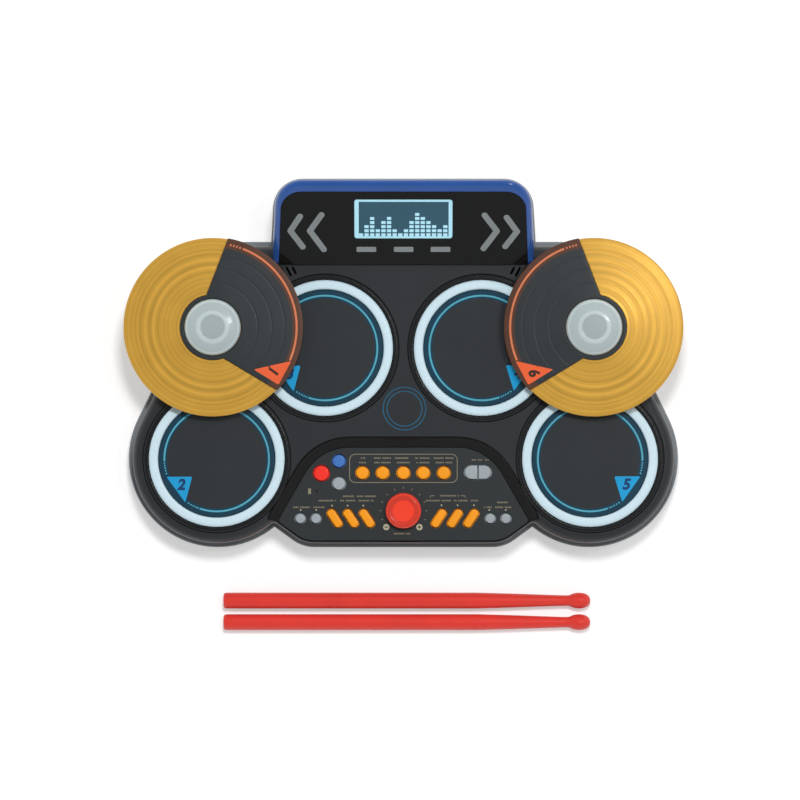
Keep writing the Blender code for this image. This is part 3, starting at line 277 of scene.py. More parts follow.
def stroke(points, radius):
    """The outline round a bent line A-B-C: half circles at its ends, an arc outside the bend and
    the crossing of the two offset sides inside it."""
    a, b, c = (np.asarray(point, dtype=float) for point in points)
    first, last = [np.degrees(np.arctan2(*(q - p)[::-1])) for p, q in ((a, b), (b, c))]
    turn = (last - first + 180.0) % 360.0 - 180.0
    outer = -math.copysign(90.0, turn)
    reach = radius / math.cos(math.radians(turn / 2))
    inside = b + direction(first + turn / 2 - outer) * reach
    bend = arc(b, radius, first + outer, first + turn + outer, 10)
    end = arc(c, radius, last + outer, last - outer, 20)
    start = arc(a, radius, first - outer, first - 3 * outer, 20)
    return np.concatenate((bend, end, inside[None], start))


def on_slope(shape):
    """A shape drawn on the display's slope, (across, up it, out of it), in the drawing's place."""

    def stood(points):
        x, v, n = points.T
        y = SLOPE_Y + v * math.cos(SLOPE_TILT) - n * math.sin(SLOPE_TILT)
        z = SLOPE_Z + v * math.sin(SLOPE_TILT) + n * math.cos(SLOPE_TILT)
        return np.column_stack((x, y, z))

    return altered(shape, stood)


def up_slope(y):
    """How far up the slope a place seen from straight above is."""
    return (y - SLOPE_Y) / math.cos(SLOPE_TILT)


def from_view(points):
    """Places in the drawing, straight below their places in the photographed view."""
    return (np.asarray(points, dtype=float) - VIEW_ORIGIN) * (VIEW_PIXEL, -VIEW_PIXEL)


def numeral(text, size, centre, turn, bottom, top):
    """A plain numeral, filled, a little bold and slanted, and given its thickness."""
    curve = bpy.data.curves.new("numeral", "FONT")
    curve.body, curve.size = text, size
    curve.align_x = curve.align_y = "CENTER"
    curve.extrude = 0.5
    curve.offset, curve.shear = 0.045 * size, 0.2
    curve.resolution_u = 4
    made = bpy.data.objects.new("numeral", curve)
    bpy.context.scene.collection.objects.link(made)
    bpy.context.view_layer.update()
    graph = bpy.context.evaluated_depsgraph_get()
    mesh = bpy.data.meshes.new_from_object(made.evaluated_get(graph))
    points, faces = as_shape(mesh)
    bpy.data.objects.remove(made)
    bpy.data.meshes.remove(mesh)
    height = np.where(points[:, 2] > 0, top, bottom)
    return np.column_stack((moved(points[:, :2], centre, turn), height)), faces


# Pieces ------------------------------------------------------------------------------------------
def mesh_of(name, shape, scale=1.0):
    """A mesh with its doubles merged and its faces turned outwards."""
    points, faces = shape
    mesh = bpy.data.meshes.new(name)
    mesh.from_pydata(points * scale, [], faces)
    work = bmesh.new()
    work.from_mesh(mesh)
    bmesh.ops.remove_doubles(work, verts=work.verts, dist=1e-4 * scale)
    bmesh.ops.recalc_face_normals(work, faces=work.faces)
    work.to_mesh(mesh)
    work.free()
    return mesh


def as_shape(mesh):
    return read(mesh.vertices, "co", size=3), [list(face.vertices) for face in mesh.polygons]


def carved(shape, *tools, operation="DIFFERENCE"):
    """A shape with others cut out of it in turn, or joined on, or kept to."""
    for tool in tools:
        solids = []
        for name, part in (("work", shape), ("tool", tool)):
            solids.append(bpy.data.objects.new(name, mesh_of(name, part)))
            bpy.context.scene.collection.objects.link(solids[-1])
        modifier = solids[0].modifiers.new("carve", "BOOLEAN")
        modifier.operation, modifier.solver, modifier.object = operation, "EXACT", solids[1]
        bpy.context.view_layer.update()
        graph = bpy.context.evaluated_depsgraph_get()
        result = bpy.data.meshes.new_from_object(solids[0].evaluated_get(graph))
        shape = as_shape(result)
        for solid in solids:
            bpy.data.objects.remove(solid)
        bpy.data.meshes.remove(result)
    return shape


def read(items, attribute, kind=float, size=1):
    """One attribute of a mesh's vertices, faces, corners or edges, as an array."""
    values = np.empty(size * len(items), dtype=kind)
    items.foreach_get(attribute, values)
    return values.reshape(-1, size) if size > 1 else values


def shade(mesh, flat):
    """Smooth shading, broken at sharp edges and round the faces that lie square to flat."""
    mesh.shade_smooth()
    mesh.set_sharp_from_angle(angle=SHARP_ANGLE)
    if flat is None:
        return
    lies_flat = read(mesh.polygons, "normal", size=3) @ np.asarray(flat) > FLAT_COSINE
    edges = read(mesh.loops, "edge_index", int)
    corners = read(mesh.polygons, "loop_total", int)
    count = np.bincount(edges, np.repeat(lies_flat, corners), len(mesh.edges))
    sharp = mesh.attributes.get("sharp_edge")
    sharp = sharp or mesh.attributes.new("sharp_edge", "BOOLEAN", "EDGE")
    before = read(sharp.data, "value", bool)
    sharp.data.foreach_set("value", before | (count == 1))


def piece(name, shape, finish, body="case", nodes=(), flat=None, middle_at=None):
    """Makes a shape an object that rides on a body and stands for some nodes. With middle_at, its
    points also get their distance from an upright axis there, in millimetres, for the finish."""
    drawing = (0.0, DRAWING_Y, 0.0)
    mesh = mesh_of(name, shifted(shape, drawing), MM)
    solid = bpy.data.objects.new(name, mesh)
    bpy.context.scene.collection.objects.link(solid)
    shade(mesh, flat)
    mesh.materials.append(finish)
    if middle_at is not None:
        offset = as_shape(mesh)[0][:, :2] / MM - drawing[:2] - np.asarray(middle_at)[:2]
        radius = mesh.attributes.new("radius", "FLOAT", "POINT")
        radius.data.foreach_set("value", np.linalg.norm(offset, axis=1))
    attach(solid, body)
    if nodes:
        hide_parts(*nodes)
    return solid


def refinish(node, finish):
    """Gives a node that is kept as it is a better material."""
    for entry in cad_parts[node].material_slots:
        entry.material = finish


# Materials ---------------------------------------------------------------------------------------
CLOUD_SIZE = 30.0  # of the broad clouds in a finish
RAMP_REACH = 100.0  # radius at which the colour ramp of by_radius ends
RAMP_EDGE = 0.25  # half the width of the blend between two of its colours


def linear(code):
    """An sRGB hex value as linear light."""
    channels = np.array(tuple(bytes.fromhex(code))) / 255.0
    curved = ((channels + 0.055) / 1.055) ** 2.4
    return tuple(np.where(channels > 0.04045, curved, channels / 12.92))


def add(tree, kind, inputs=None, **settings):
    """Adds a shader node with its settings, and fills or links its inputs."""
    made = tree.nodes.new(kind)
    for key, value in settings.items():
        setattr(made, key, value)
    for key, value in (inputs or {}).items():
        if isinstance(value, bpy.types.NodeSocket):
            tree.links.new(value, made.inputs[key])
        else:
            made.inputs[key].default_value = value
    return made


def noise(tree, place, size, detail):
    """Noise over a place, its lumps of a size in millimetres."""
    inputs = {"Vector": place, "Scale": 1.0 / (size * MM), "Detail": detail}
    return add(tree, "ShaderNodeTexNoise", inputs).outputs["Fac"]


def varied(tree, value, usual, reach):
    """Noise, most of which lies from 0.3 to 0.7, as a value that varies to both sides of a usual
    one."""
    low, high = usual - reach, usual + reach
    inputs = {"Value": value, "From Min": 0.3, "From Max": 0.7, "To Min": low, "To Max": high}
    return add(tree, "ShaderNodeMapRange", inputs).outputs["Result"]


def scaled(tree, colour, share):
    return add(tree, "ShaderNodeVectorMath", {0: colour, "Scale": share}, operation="SCALE")


def raised(tree, height, depth):
    """A bump of a depth in millimetres."""
    return add(tree, "ShaderNodeBump", {"Height": height, "Strength": 1.0, "Distance": depth * MM})


def maths(tree, operation, first, second):
    made = add(tree, "ShaderNodeMath", {0: first, 1: second}, operation=operation)
    return made.outputs["Value"]


def moulded(
    name, colour, roughness, grain=1.2, relief=0.02, mottle=0.05, gloss_spread=0.05, **sockets
):
    """A moulded or cast surface. A fine grain of a size in millimetres lifts it and varies its
    gloss, and broad clouds vary its colour by the mottle's share. Other values go straight onto
    the shader's sockets."""
    if name in bpy.data.materials:
        return bpy.data.materials[name]
    finish = bpy.data.materials.new(name)
    finish.use_nodes = True
    tree = finish.node_tree
    shader = tree.nodes["Principled BSDF"]
    place = add(tree, "ShaderNodeTexCoord").outputs["Object"]
    fine = noise(tree, place, grain, 2.0)
    clouds = noise(tree, place, CLOUD_SIZE, 3.0)
    tint = scaled(tree, tuple(colour), varied(tree, clouds, 1.0, mottle))
    bump = raised(tree, fine, relief)
    tree.links.new(tint.outputs["Vector"], shader.inputs["Base Color"])
    tree.links.new(varied(tree, fine, roughness, gloss_spread), shader.inputs["Roughness"])
    tree.links.new(bump.outputs["Normal"], shader.inputs["Normal"])
    tint.name, bump.name = "tint", "bump"
    for socket, value in sockets.items():
        shader.inputs[socket.replace("_", " ")].default_value = value
    return finish


def radius_in(tree):
    """The radius, in millimetres, that piece() gave each point."""
    return add(tree, "ShaderNodeAttribute", attribute_name="radius").outputs["Fac"]


def by_radius(finish, stops):
    """Paints a moulded finish in rings: stops are (radius in millimetres, colour), each colour
    holding from its radius to the next."""
    tree = finish.node_tree
    if "rings" in tree.nodes:
        return finish
    share = maths(tree, "DIVIDE", radius_in(tree), RAMP_REACH)
    ramp = add(tree, "ShaderNodeValToRGB", {"Fac": share}, name="rings")
    elements = ramp.color_ramp.elements
    elements[0].position, elements[0].color = 0.0, (*stops[0][1], 1.0)
    elements[1].position, elements[1].color = 1.0, (*stops[-1][1], 1.0)
    for (_, before), (start, colour) in zip(stops, stops[1:]):
        elements.new((start - RAMP_EDGE) / RAMP_REACH).color = (*before, 1.0)
        elements.new((start + RAMP_EDGE) / RAMP_REACH).color = (*colour, 1.0)
    tree.links.new(ramp.outputs["Color"], tree.nodes["tint"].inputs[0])
    return finish


def spun(finish, pitch, depth, tone=0.16):
    """Adds fine turned rings to a moulded finish: noise along the radius alone, so that each ring
    is even all the way round, with pitch and depth in millimetres, and its share of the tone, a
    painted sheen that makes some rings lighter and some darker."""
    tree = finish.node_tree
    if "lathe" in tree.nodes:
        return finish
    inputs = {"W": radius_in(tree), "Scale": 1.0 / pitch, "Detail": 4.0}
    settings = {"noise_dimensions": "1D", "name": "lathe"}
    rings = add(tree, "ShaderNodeTexNoise", inputs, **settings).outputs["Fac"]
    lift = raised(tree, rings, depth)
    tree.links.new(lift.outputs["Normal"], tree.nodes["bump"].inputs["Normal"])
    toned = scaled(tree, tree.nodes["tint"].outputs["Vector"], varied(tree, rings, 1.0, tone))
    shader = tree.nodes["Principled BSDF"]
    tree.links.new(toned.outputs["Vector"], shader.inputs["Base Color"])
    return finish


def ink(name, colour, glow=0.0):
    """Screen-printed ink: matt, slightly grainy where the mesh of the screen let it through. A glow
    gives it a faint painted glow of its own colour.
    """
    extra = {"Emission_Color": (*colour, 1.0), "Emission_Strength": glow} if glow else {}
    return moulded(name, colour, 0.6, grain=0.8, relief=0.01, mottle=0.08, **extra)


# Outlines ----------------------------------------------------------------------------------------
# The right half of each is a row of arcs: middle, radius, first and last normal
def corner(first, second, radius):
    """The middle of the round corner between two edges, each (normal, distance)."""
    a, b = direction(first[0]), direction(second[0])
    return np.linalg.solve(np.array((a, b)), (first[1] - radius, second[1] - radius))


def neck(edge, lobe, lobe_radius, radius):
    """The middle of the hollow arc that joins an edge to the round lobe after it."""
    normal = direction(edge[0])
    along = np.array((-normal[1], normal[0]))
    out = edge[1] + radius
    reach = math.sqrt((lobe_radius + radius) ** 2 - (out - normal @ lobe) ** 2)
    return normal * out + along * (along @ lobe - reach)


QUARTERS = [f"{row}_{side}" for row in ("front", "rear") for side in SIDES]
PAD_CENTRES = {name: middle(f"light_ring_{name}")[:2] for name in QUARTERS}
FRONT_PAD = PAD_CENTRES["front_right"]
REAR_PAD = PAD_CENTRES["rear_right"]
LOBE_RADIUS = SEAT_RADIUS + 7.5
FRONT_EDGE = (270.0, 106.1)
SLANT_EDGE = (306.0, 131.7)
BACK_EDGE = (90.0, 126.4)
SIDE_EDGE = (26.0, direction(26.0) @ FRONT_PAD + LOBE_RADIUS)
NECK_RADIUS = 4.0
NECK = neck(SLANT_EDGE, FRONT_PAD, LOBE_RADIUS, NECK_RADIUS)
LOBE_START = math.degrees(math.atan2(*(NECK - FRONT_PAD)[::-1])) % 360.0
DISPLAY_SIDE = (3.25, direction(3.25) @ (DISPLAY_HALF_WIDTH, SLOPE_Y))
DISPLAY_END = (90.0, SLOPE_Y + DISPLAY_DEPTH)
DISPLAY_BACK = (corner(DISPLAY_SIDE, DISPLAY_END, 21.0), 21.0, DISPLAY_SIDE[0], 90.0)
CASE_BODY = [
    (corner(FRONT_EDGE, SLANT_EDGE, 26.0), 26.0, 270.0, 306.0),
    (NECK, -NECK_RADIUS, 306.0, LOBE_START),
    (FRONT_PAD, LOBE_RADIUS, LOBE_START, 386.0),
    (corner(SIDE_EDGE, BACK_EDGE, 23.4), 23.4, 26.0, 90.0),
]
CASE_AND_DISPLAY = CASE_BODY + [
    (corner(BACK_EDGE, DISPLAY_SIDE, -NECK_RADIUS), -NECK_RADIUS, 90.0, DISPLAY_SIDE[0]),
    DISPLAY_BACK,
]
PANEL_EDGES = [
    (270.0, 103.7),
    (306.0, 129.3),
    (30.0, direction(30.0) @ FRONT_PAD - SEAT_RADIUS - 6.5),
    (90.0, -30.9),
]
PANEL = [
    (corner(PANEL_EDGES[0], PANEL_EDGES[1], 23.6), 23.6, 270.0, 306.0),
    (corner(PANEL_EDGES[1], PANEL_EDGES[2], 3.0), 3.0, 306.0, 390.0),
    (corner(PANEL_EDGES[2], PANEL_EDGES[3], 40.0), 40.0, 30.0, 90.0),
]


def whole(half):
    """A whole outline from its right half."""
    return np.concatenate((half, half[::-1] * (-1.0, 1.0)))


def outline(arcs, inset):
    """The whole outline, drawn in by inset, from the arcs of its right half. A point is the arc's
    middle plus (radius - inset) along its normal; past its radius, a corner is one sharp point."""
    half = []
    for centre, radius, first, last in arcs:
        steps = max(4, round(abs(last - first) / ARC_STEP))
        if 0 < radius <= inset:
            reach = (radius - inset) / math.cos(math.radians((last - first) / 2))
            point = centre + direction((first + last) / 2) * reach
            half.append(np.tile(point, (steps + 1, 1)))
        else:
            half.append(arc(centre, radius - inset, first, last, steps))
    return whole(np.concatenate(half))


def sections(arcs, profile):
    """Slices for a loft, from a profile of (inset, height) round an outline."""
    return [(outline(arcs, inset), height) for inset, height in profile]


def disc_top(radius):
    """Flat over the hub, then falling evenly to the edge."""
    share = (np.asarray(radius, dtype=float) - DISC_HUB_RADIUS) / (DISC_RADIUS - DISC_HUB_RADIUS)
    return DISC_HUB_Z - (DISC_HUB_Z - DISC_EDGE_Z) * np.maximum(share, 0.0)


def strike_top(radius):
    """The height of a strike pad's top at a radius."""
    return float(disc_top(radius)) + STRIKE_PROUD


def wedge_limits(radius, clearance):
    """The bearings, in radians, where circles round the disc's middle cross the wedge's sides."""
    back_off = clearance / math.sin(math.radians(WEDGE_HALF_ANGLE))
    apex = WEDGE_APEX - direction(WEDGE_BEARING) * back_off
    limits = []
    for side in (-1, 1):
        along = direction(WEDGE_BEARING + side * WEDGE_HALF_ANGLE)
        run = -(apex @ along) + np.sqrt((apex @ along) ** 2 - apex @ apex + np.asarray(radius) ** 2)
        point = apex + run[:, None] * along
        limits.append(np.arctan2(point[:, 1], point[:, 0]))
    return limits


def wedge(centre, side, section, clearance, ease=((0.0, 0.0),)):
    """A sector of the disc between the wedge's sides: a closed section of (radius, height) swept
    from one side to the other, its upper half lowered near each side by ease, pairs of (offset
    from the side, drop), all in millimetres."""
    radius, height = np.asarray(section, dtype=float).T
    first, last = wedge_limits(radius, clearance)
    offset, drop = np.array(ease).T
    inner = np.linspace(0.0, 1.0, 41)[1:-1]
    share = np.concatenate((np.zeros(len(offset)), inner, np.ones(len(offset))))[:, None]
    shift = np.concatenate((offset, np.zeros(len(inner)), -offset[::-1]))[:, None]
    lower = np.concatenate((drop, np.zeros(len(inner)), drop[::-1]))[:, None]
    angle = first + share * (last - first) + shift / radius
    upper = height > (height.min() + height.max()) / 2 if drop.any() else height < 0
    rings = np.empty((len(share), len(radius), 3))
    rings[..., 0] = centre[0] - side * radius * np.cos(angle)
    rings[..., 1] = centre[1] + radius * np.sin(angle)
    rings[..., 2] = height - lower * upper
    return skin(rings)


def cymbal(side):
    """The body, the disc's middle and the pivot of one cymbal."""
    return f"cymbal_{side}", middle(f"hub_lens_{side}")[:2], middle(f"pivot_pin_{side}")[:2]


# Settings ----------------------------------------------------------------------------------------
def hue(name, description, code):
    kind = {"default": linear(code), "subtype": "COLOR", "size": 3, "min": 0.0, "max": 1.0}
    return FloatVectorProperty(name=name, description=description, **kind)


def length(name, description, millimetres):
    kind = {"default": millimetres * MM, "min": 0.0, "unit": "LENGTH", "subtype": "DISTANCE"}
    return FloatProperty(name=name, description=description, **kind)


def power(name, description, watts):
    kind = {"default": watts, "min": 0.0, "unit": "POWER"}
    return FloatProperty(name=name, description=description, **kind)


class CaseSettings(bpy.types.PropertyGroup):
    deck: hue("Deck", "Spark-textured ABS of the top case", "2a2d30")
    surround: hue("Surround", "Gloss black slope round the control panel", "0b0c0d")
    # The seats' colour, darker than the deck's, is painted shade of the dip round each light ring
    seat: hue("Seats", "Satin lip round each light ring", "141618")
    mark: hue("Mark", "Printed rings in the middle of the deck", "1e5a78")
    base: hue("Base", "Moulded ABS of the bottom case", "7b8084")
    grain: length("Grain", "Width of the pits of the deck's spark texture", 1.1)


class PadSettings(bpy.types.PropertyGroup):
    head: hue("Pad", "Silicone of the drum pads", "282c30")
    band: hue("Band", "Darker blue band round the pad", "07364a")
    line: hue("Line", "Printed line and dots round the pad", "4fa0b6")
    marker: hue("Marker", "Printed triangle that holds the pad's number", "1690c4")
    number: hue("Number", "Printed number in the triangle", "123a66")
    ring: hue("Light ring", "Milky light pipe round the pad", "c9e0ea")


class PanelSettings(bpy.types.PropertyGroup):
    plate: hue("Plate", "Textured ABS plate of the control panel", "2b2f31")
    ink: hue("Ink", "Printed lines and captions", "857c66")
    cream: hue("Cream", "Printed dots and the signs beside the knob", "aca88e")
    mode: hue("Mode keys", "Moulded orange of the round and the slanted keys", "f39a1c")
    power: hue("Power key", "Moulded red of the power key", "ee3326")
    wireless: hue("Blue key", "Moulded blue of the upper round key", "4371b8")
    grey: hue("Grey keys", "Moulded grey of the small keys", "9ba3a8")
    knob: hue("Knob", "Moulded red of the volume knob", "ee422c")


class DisplaySettings(bpy.types.PropertyGroup):
    housing: hue("Housing", "Gloss blue ABS of the display housing", "254f94")
    fascia: hue("Fascia", "Piano-black fascia", "0f1011")
    mark: hue("Marks", "Printed chevrons and bars of the fascia", "7f8587")
    screen: hue("Screen", "Dark ground of the lit display", "284c5c")
    segment: hue("Segments", "Lit segments and frame of the display", "a2d2e2")


class CymbalSettings(bpy.types.PropertyGroup):
    gold: hue("Gold", "Metallised plastic of the discs and arms", "dfac47")
    marker: hue("Marker", "Printed triangle that holds the number", "dc5c32")
    pad: hue("Strike pad", "Rubber of the strike pads", "2c3134")
    border: hue("Border", "Brown border of the strike pads", "523427")
    line: hue("Line", "Printed orange line and dots", "c8734f")
    number: hue("Number", "Printed number in the triangle", "3c2620")
    lens: hue("Lens", "Frosted lens over the hub", "a0acad")


class StickSettings(bpy.types.PropertyGroup):
    shaft: hue("Sticks", "Moulded red of the drumsticks", "e03a30")


class StageSettings(bpy.types.PropertyGroup):
    floor: hue("Floor", "Matt white paper under the object", "dcdcdc")
    frame_width: length("Frame width", "Width that the camera takes in at the deck", 624.0)
    distance: length("Camera distance", "From the deck to the camera", 5000.0)
    tilt: FloatProperty(
        name="Tilt",
        description="Of the camera from straight down, towards the front",
        default=math.radians(-0.7),
        subtype="ANGLE",
    )
    sky: FloatProperty(
        name="Sky", description="Level of the soft light all round", default=1.0, min=0.0
    )
    lamp: power("Lamp", "Power of the lamp behind", 36.0)
    glint: power("Glint", "Power of the lamp at the right", 7.0)


GROUPS = {
    "drum_pad_case": CaseSettings,
    "drum_pad_pads": PadSettings,
    "drum_pad_panel": PanelSettings,
    "drum_pad_display": DisplaySettings,
    "drum_pad_cymbals": CymbalSettings,
    "drum_pad_sticks": StickSettings,
    "drum_pad_stage": StageSettings,
}


# Finishes that several pieces share --------------------------------------------------------------
def plated_steel():
    """Nickel-plated steel: bright, with the faint smears of handling."""
    smears = {"grain": 2.0, "relief": 0.002, "mottle": 0.03}
    return moulded("nickel_plated_steel", linear("b9bcbe"), 0.28, **smears, Metallic=1.0)


def base_abs(settings):
    """Moulded ABS straight off the tool: even, and a little paler than the deck where it is lit."""
    return moulded("moulded_abs_base", settings.base, 0.45, grain=1.4, relief=0.03)


# Case --------------------------------------------------------------------------------------------
DECK_PROFILE = [(0.0, SEAM_Z + GAP), (0.0, 27.0), (0.3, 38.0), (0.7, 40.6), (1.6, 42.6)]
DECK_PROFILE += [(3.2, 44.6), (5.6, 45.7), (7.0, DECK_Z), (7.6, DECK_Z)]
TRAY_FLOOR_Z = PLATE_Z - PLATE_THICKNESS - GAP
MARK_RADII = (13.2, 16.2)
MARK_AT = (0.8, -0.5)
SLIT_BACK = np.array((86.6, 110.0))
SLIT_BEARING = 242.0
SLIT_PITCH = 4.7
SLIT_COUNT = 5
SLIT_SIZE = (1.8, 0.85)  # width, and the radius of its corners


def speaker_slits():
    """The slits as rounded bars, which run from the back edge and stop short of the rear seat."""
    along = direction(SLIT_BEARING)
    bars = []
    width, rounding = SLIT_SIZE
    for index in range(SLIT_COUNT):
        back = SLIT_BACK + (SLIT_PITCH * index, 0.0)
        offset = back - REAR_PAD
        nearest = -(offset @ along)
        run = nearest - math.sqrt((SEAT_RADIUS + 3.0) ** 2 - offset @ offset + nearest**2)
        bar = rounded_rectangle(width, run, rounding)
        bar = moved(bar, back + along * run / 2, SLIT_BEARING - 90.0)
        bars.append(column(bar, DECK_Z - 7.0, DECK_Z + WALL))
    slits = joined(*bars)
    return joined(slits, mirrored(slits))


class DRUMPAD_OT_top_case(bpy.types.Operator):
    """Makes the top case, a rounded shell with the wells of the pads, the recess of the control
    panel, the speaker slits and the slot of the front edge, and what lies on it: the slope round
    the panel, the printed rings and the label in the slot"""

    bl_idname = "drum_pad.top_case"
    bl_label = "Top case"

    def execute(self, context):
        settings = context.scene.drum_pad_case
        shell = loft(sections(CASE_BODY, softened(DECK_PROFILE, 1.6)))
        inside = loft(sections(CASE_BODY, [(WALL, 17.6), (3.2, 40.0), (6.4, 43.6)]))
        tray = loft(sections(PANEL, [(-WALL, 36.3), (-11.2, 40.4), (-11.2, DECK_Z)]))
        recess = [(-GAP, TRAY_FLOOR_Z), (-GAP, 40.7), (-6.4, 44.2), (-8.7, 45.2), (-8.7, 49.0)]
        opening = column(outline(PANEL, 2.2), TRAY_FLOOR_Z - 5.0, TRAY_FLOOR_Z + GAP)
        well = [(0.0, 19.0), (54.5, 19.0), (54.5, 43.0), (57.6, 44.4), (58.1, 45.6)]
        well += [(58.1, 48.0), (0.0, 48.0)]
        wells = [turned(well, centre) for centre in PAD_CENTRES.values()]
        pivots = [middle(f"pivot_pin_{side}") for side in SIDES]
        bores = [column(circle(PIN_HOLE_RADIUS, at), DECK_Z - 5.0, DECK_Z + WALL) for at in pivots]
        front = np.array((0.0, -FRONT_EDGE[1], 24.0))
        slot, label = [
            altered(column(rounded_rectangle(*size), *reach), lambda at: at[:, (0, 2, 1)] + front)
            for size, reach in (((28.0, 3.0, 1.4), (-1.2, 1.2)), ((26.6, 1.6, 0.8), (0.9, 1.3)))
        ]
        shell = carved(shell, carved(inside, tray), loft(sections(PANEL, recess)), opening)
        shell = carved(shell, joined(*wells), speaker_slits(), joined(*bores), slot)
        # Spark-eroded ABS: satin, with a fine pitted grain that breaks up the reflections
        pits = {"grain": settings.grain / MM, "relief": 0.035, "Specular_IOR_Level": 0.38}
        deck = moulded("spark_textured_abs", settings.deck, 0.42, **pits)
        piece("top_shell", shell, deck, nodes=("top_case",), flat=UP)
        # The slope is polished in the mould and coloured near black, darker than the deck, with a
        # hard line on its crest
        polish = {"grain": 2.5, "relief": 0.004, "Specular_IOR_Level": 0.25}
        gloss = moulded("polished_black_abs", settings.surround, 0.24, **polish)
        slope = [(-0.35, 40.8), (-0.35, 41.4), (-6.2, 45.0), (-7.0, 45.9), (-7.8, 46.3)]
        slope += [(-8.5, 45.9), (-8.6, 45.3), (-6.4, 44.3)]
        slope = sections(PANEL, softened(slope, 0.4, closed=True))
        slope = skin([level(*each) for each in slope], closed=True)
        room = DECK_PROFILE[:5] + [(3.2, 44.7), (5.6, 45.9), (7.0, 46.2), (9.0, 46.5), (9.5, 50.0)]
        slope = carved(slope, loft(sections(CASE_BODY, room)), operation="INTERSECT")
        piece("panel_surround", slope, gloss)
        # A plain pair of printed rings marks the middle of the deck
        mark = np.array(((0.0, -INK), (0.8, -INK), (0.8, INK), (0.0, INK)))
        rings = [turned_ring(mark + (inner, DECK_Z), MARK_AT, 0.01) for inner in MARK_RADII]
        teal = ink("screen_printed_teal", settings.mark)
        piece("deck_rings", joined(*rings), teal)
        piece("front_label", label, teal)
        return {"FINISHED"}


class DRUMPAD_OT_seats(bpy.types.Operator):
    """Makes the lip round each light ring and the boss under each cymbal's pivot"""

    bl_idname = "drum_pad.seats"
    bl_label = "Seats and bosses"

    def execute(self, context):
        settings = context.scene.drum_pad_case
        # Satin ABS off a finer mould face than the deck's, coloured darker than the deck as painted
        # shade of the dip round each light ring; the bosses under the pivots take it too
        satin = moulded("satin_abs_lip", settings.seat, 0.3, grain=1.6, relief=0.008)
        lip = [(53.3, 46.5), (54.0, 46.9), (56.0, 46.9), (57.4, 46.2), (57.4, 44.6), (54.3, 42.5)]
        lip += [(54.3, 39.3), (49.0, 39.3), (49.0, 41.7), (53.3, 41.7)]
        for name, centre in PAD_CENTRES.items():
            piece(f"seat_{name}", turned_ring(lip, centre, 0.5), satin)
        boss = [(PIN_HOLE_RADIUS, 43.4), (PIN_HOLE_RADIUS, BOSS_Z), (9.2, BOSS_Z), (10.0, 48.7)]
        boss += [(10.3, 46.6), (11.6, 45.9), (11.6, 43.4)]
        for side in SIDES:
            shape = turned_ring(boss, middle(f"pivot_pin_{side}"), 0.5, 64)
            piece(f"pivot_boss_{side}", shape, satin)
        return {"FINISHED"}


BASE_PROFILE = [(3.5, FLOOR_Z), (0.8, 5.5), (-0.4, 10.0), (-2.2, 16.5)]
BASE_PROFILE += [(-2.2, 19.0), (-1.2, SEAM_Z)]
# Round the lobes and the front the wall flares wider than at the case's back
FLARE_PROFILE = [(2.0, 8.0), (-1.0, 10.5), (-3.4, 16.5), (-3.6, 18.9), (-2.6, SEAM_Z - 0.1)]
DOOR_Z = FLOOR_Z + 0.2
DOOR_TOP_Z = DOOR_Z + 3.0
DOOR_SIZE = (66.0, 70.0)
BAY_SIZE = (62.0, 56.0)
BAY_MIDDLE = (0.0, 28.0)
BAY_TOP_Z = 21.0
CASE_SCREWS = ((62.0, -92.0), (178.0, 10.0), (104.0, 118.0), (30.0, 112.0))
FOOT_WELL_RADIUS = 9.3
SCREW_WELL_RADIUS = 4.0
DOOR_SCREW_HOLE_RADIUS = 1.9


def screw_head(at, z):
    """A low domed head with a cross recess, its face down, at a height."""
    head = softened([(0.0, 0.0), (2.2, 0.05), (2.9, 0.5), (2.9, 1.2), (0.0, 1.2)], 0.4)
    bars = [tiles([(0.0, 0.0)], *size, -1.0, 0.8) for size in ((3.4, 0.75), (0.75, 3.4))]
    cross = carved(*bars, operation="UNION")
    return shifted(carved(turned(head, steps=32), cross), (at[0], at[1], z))


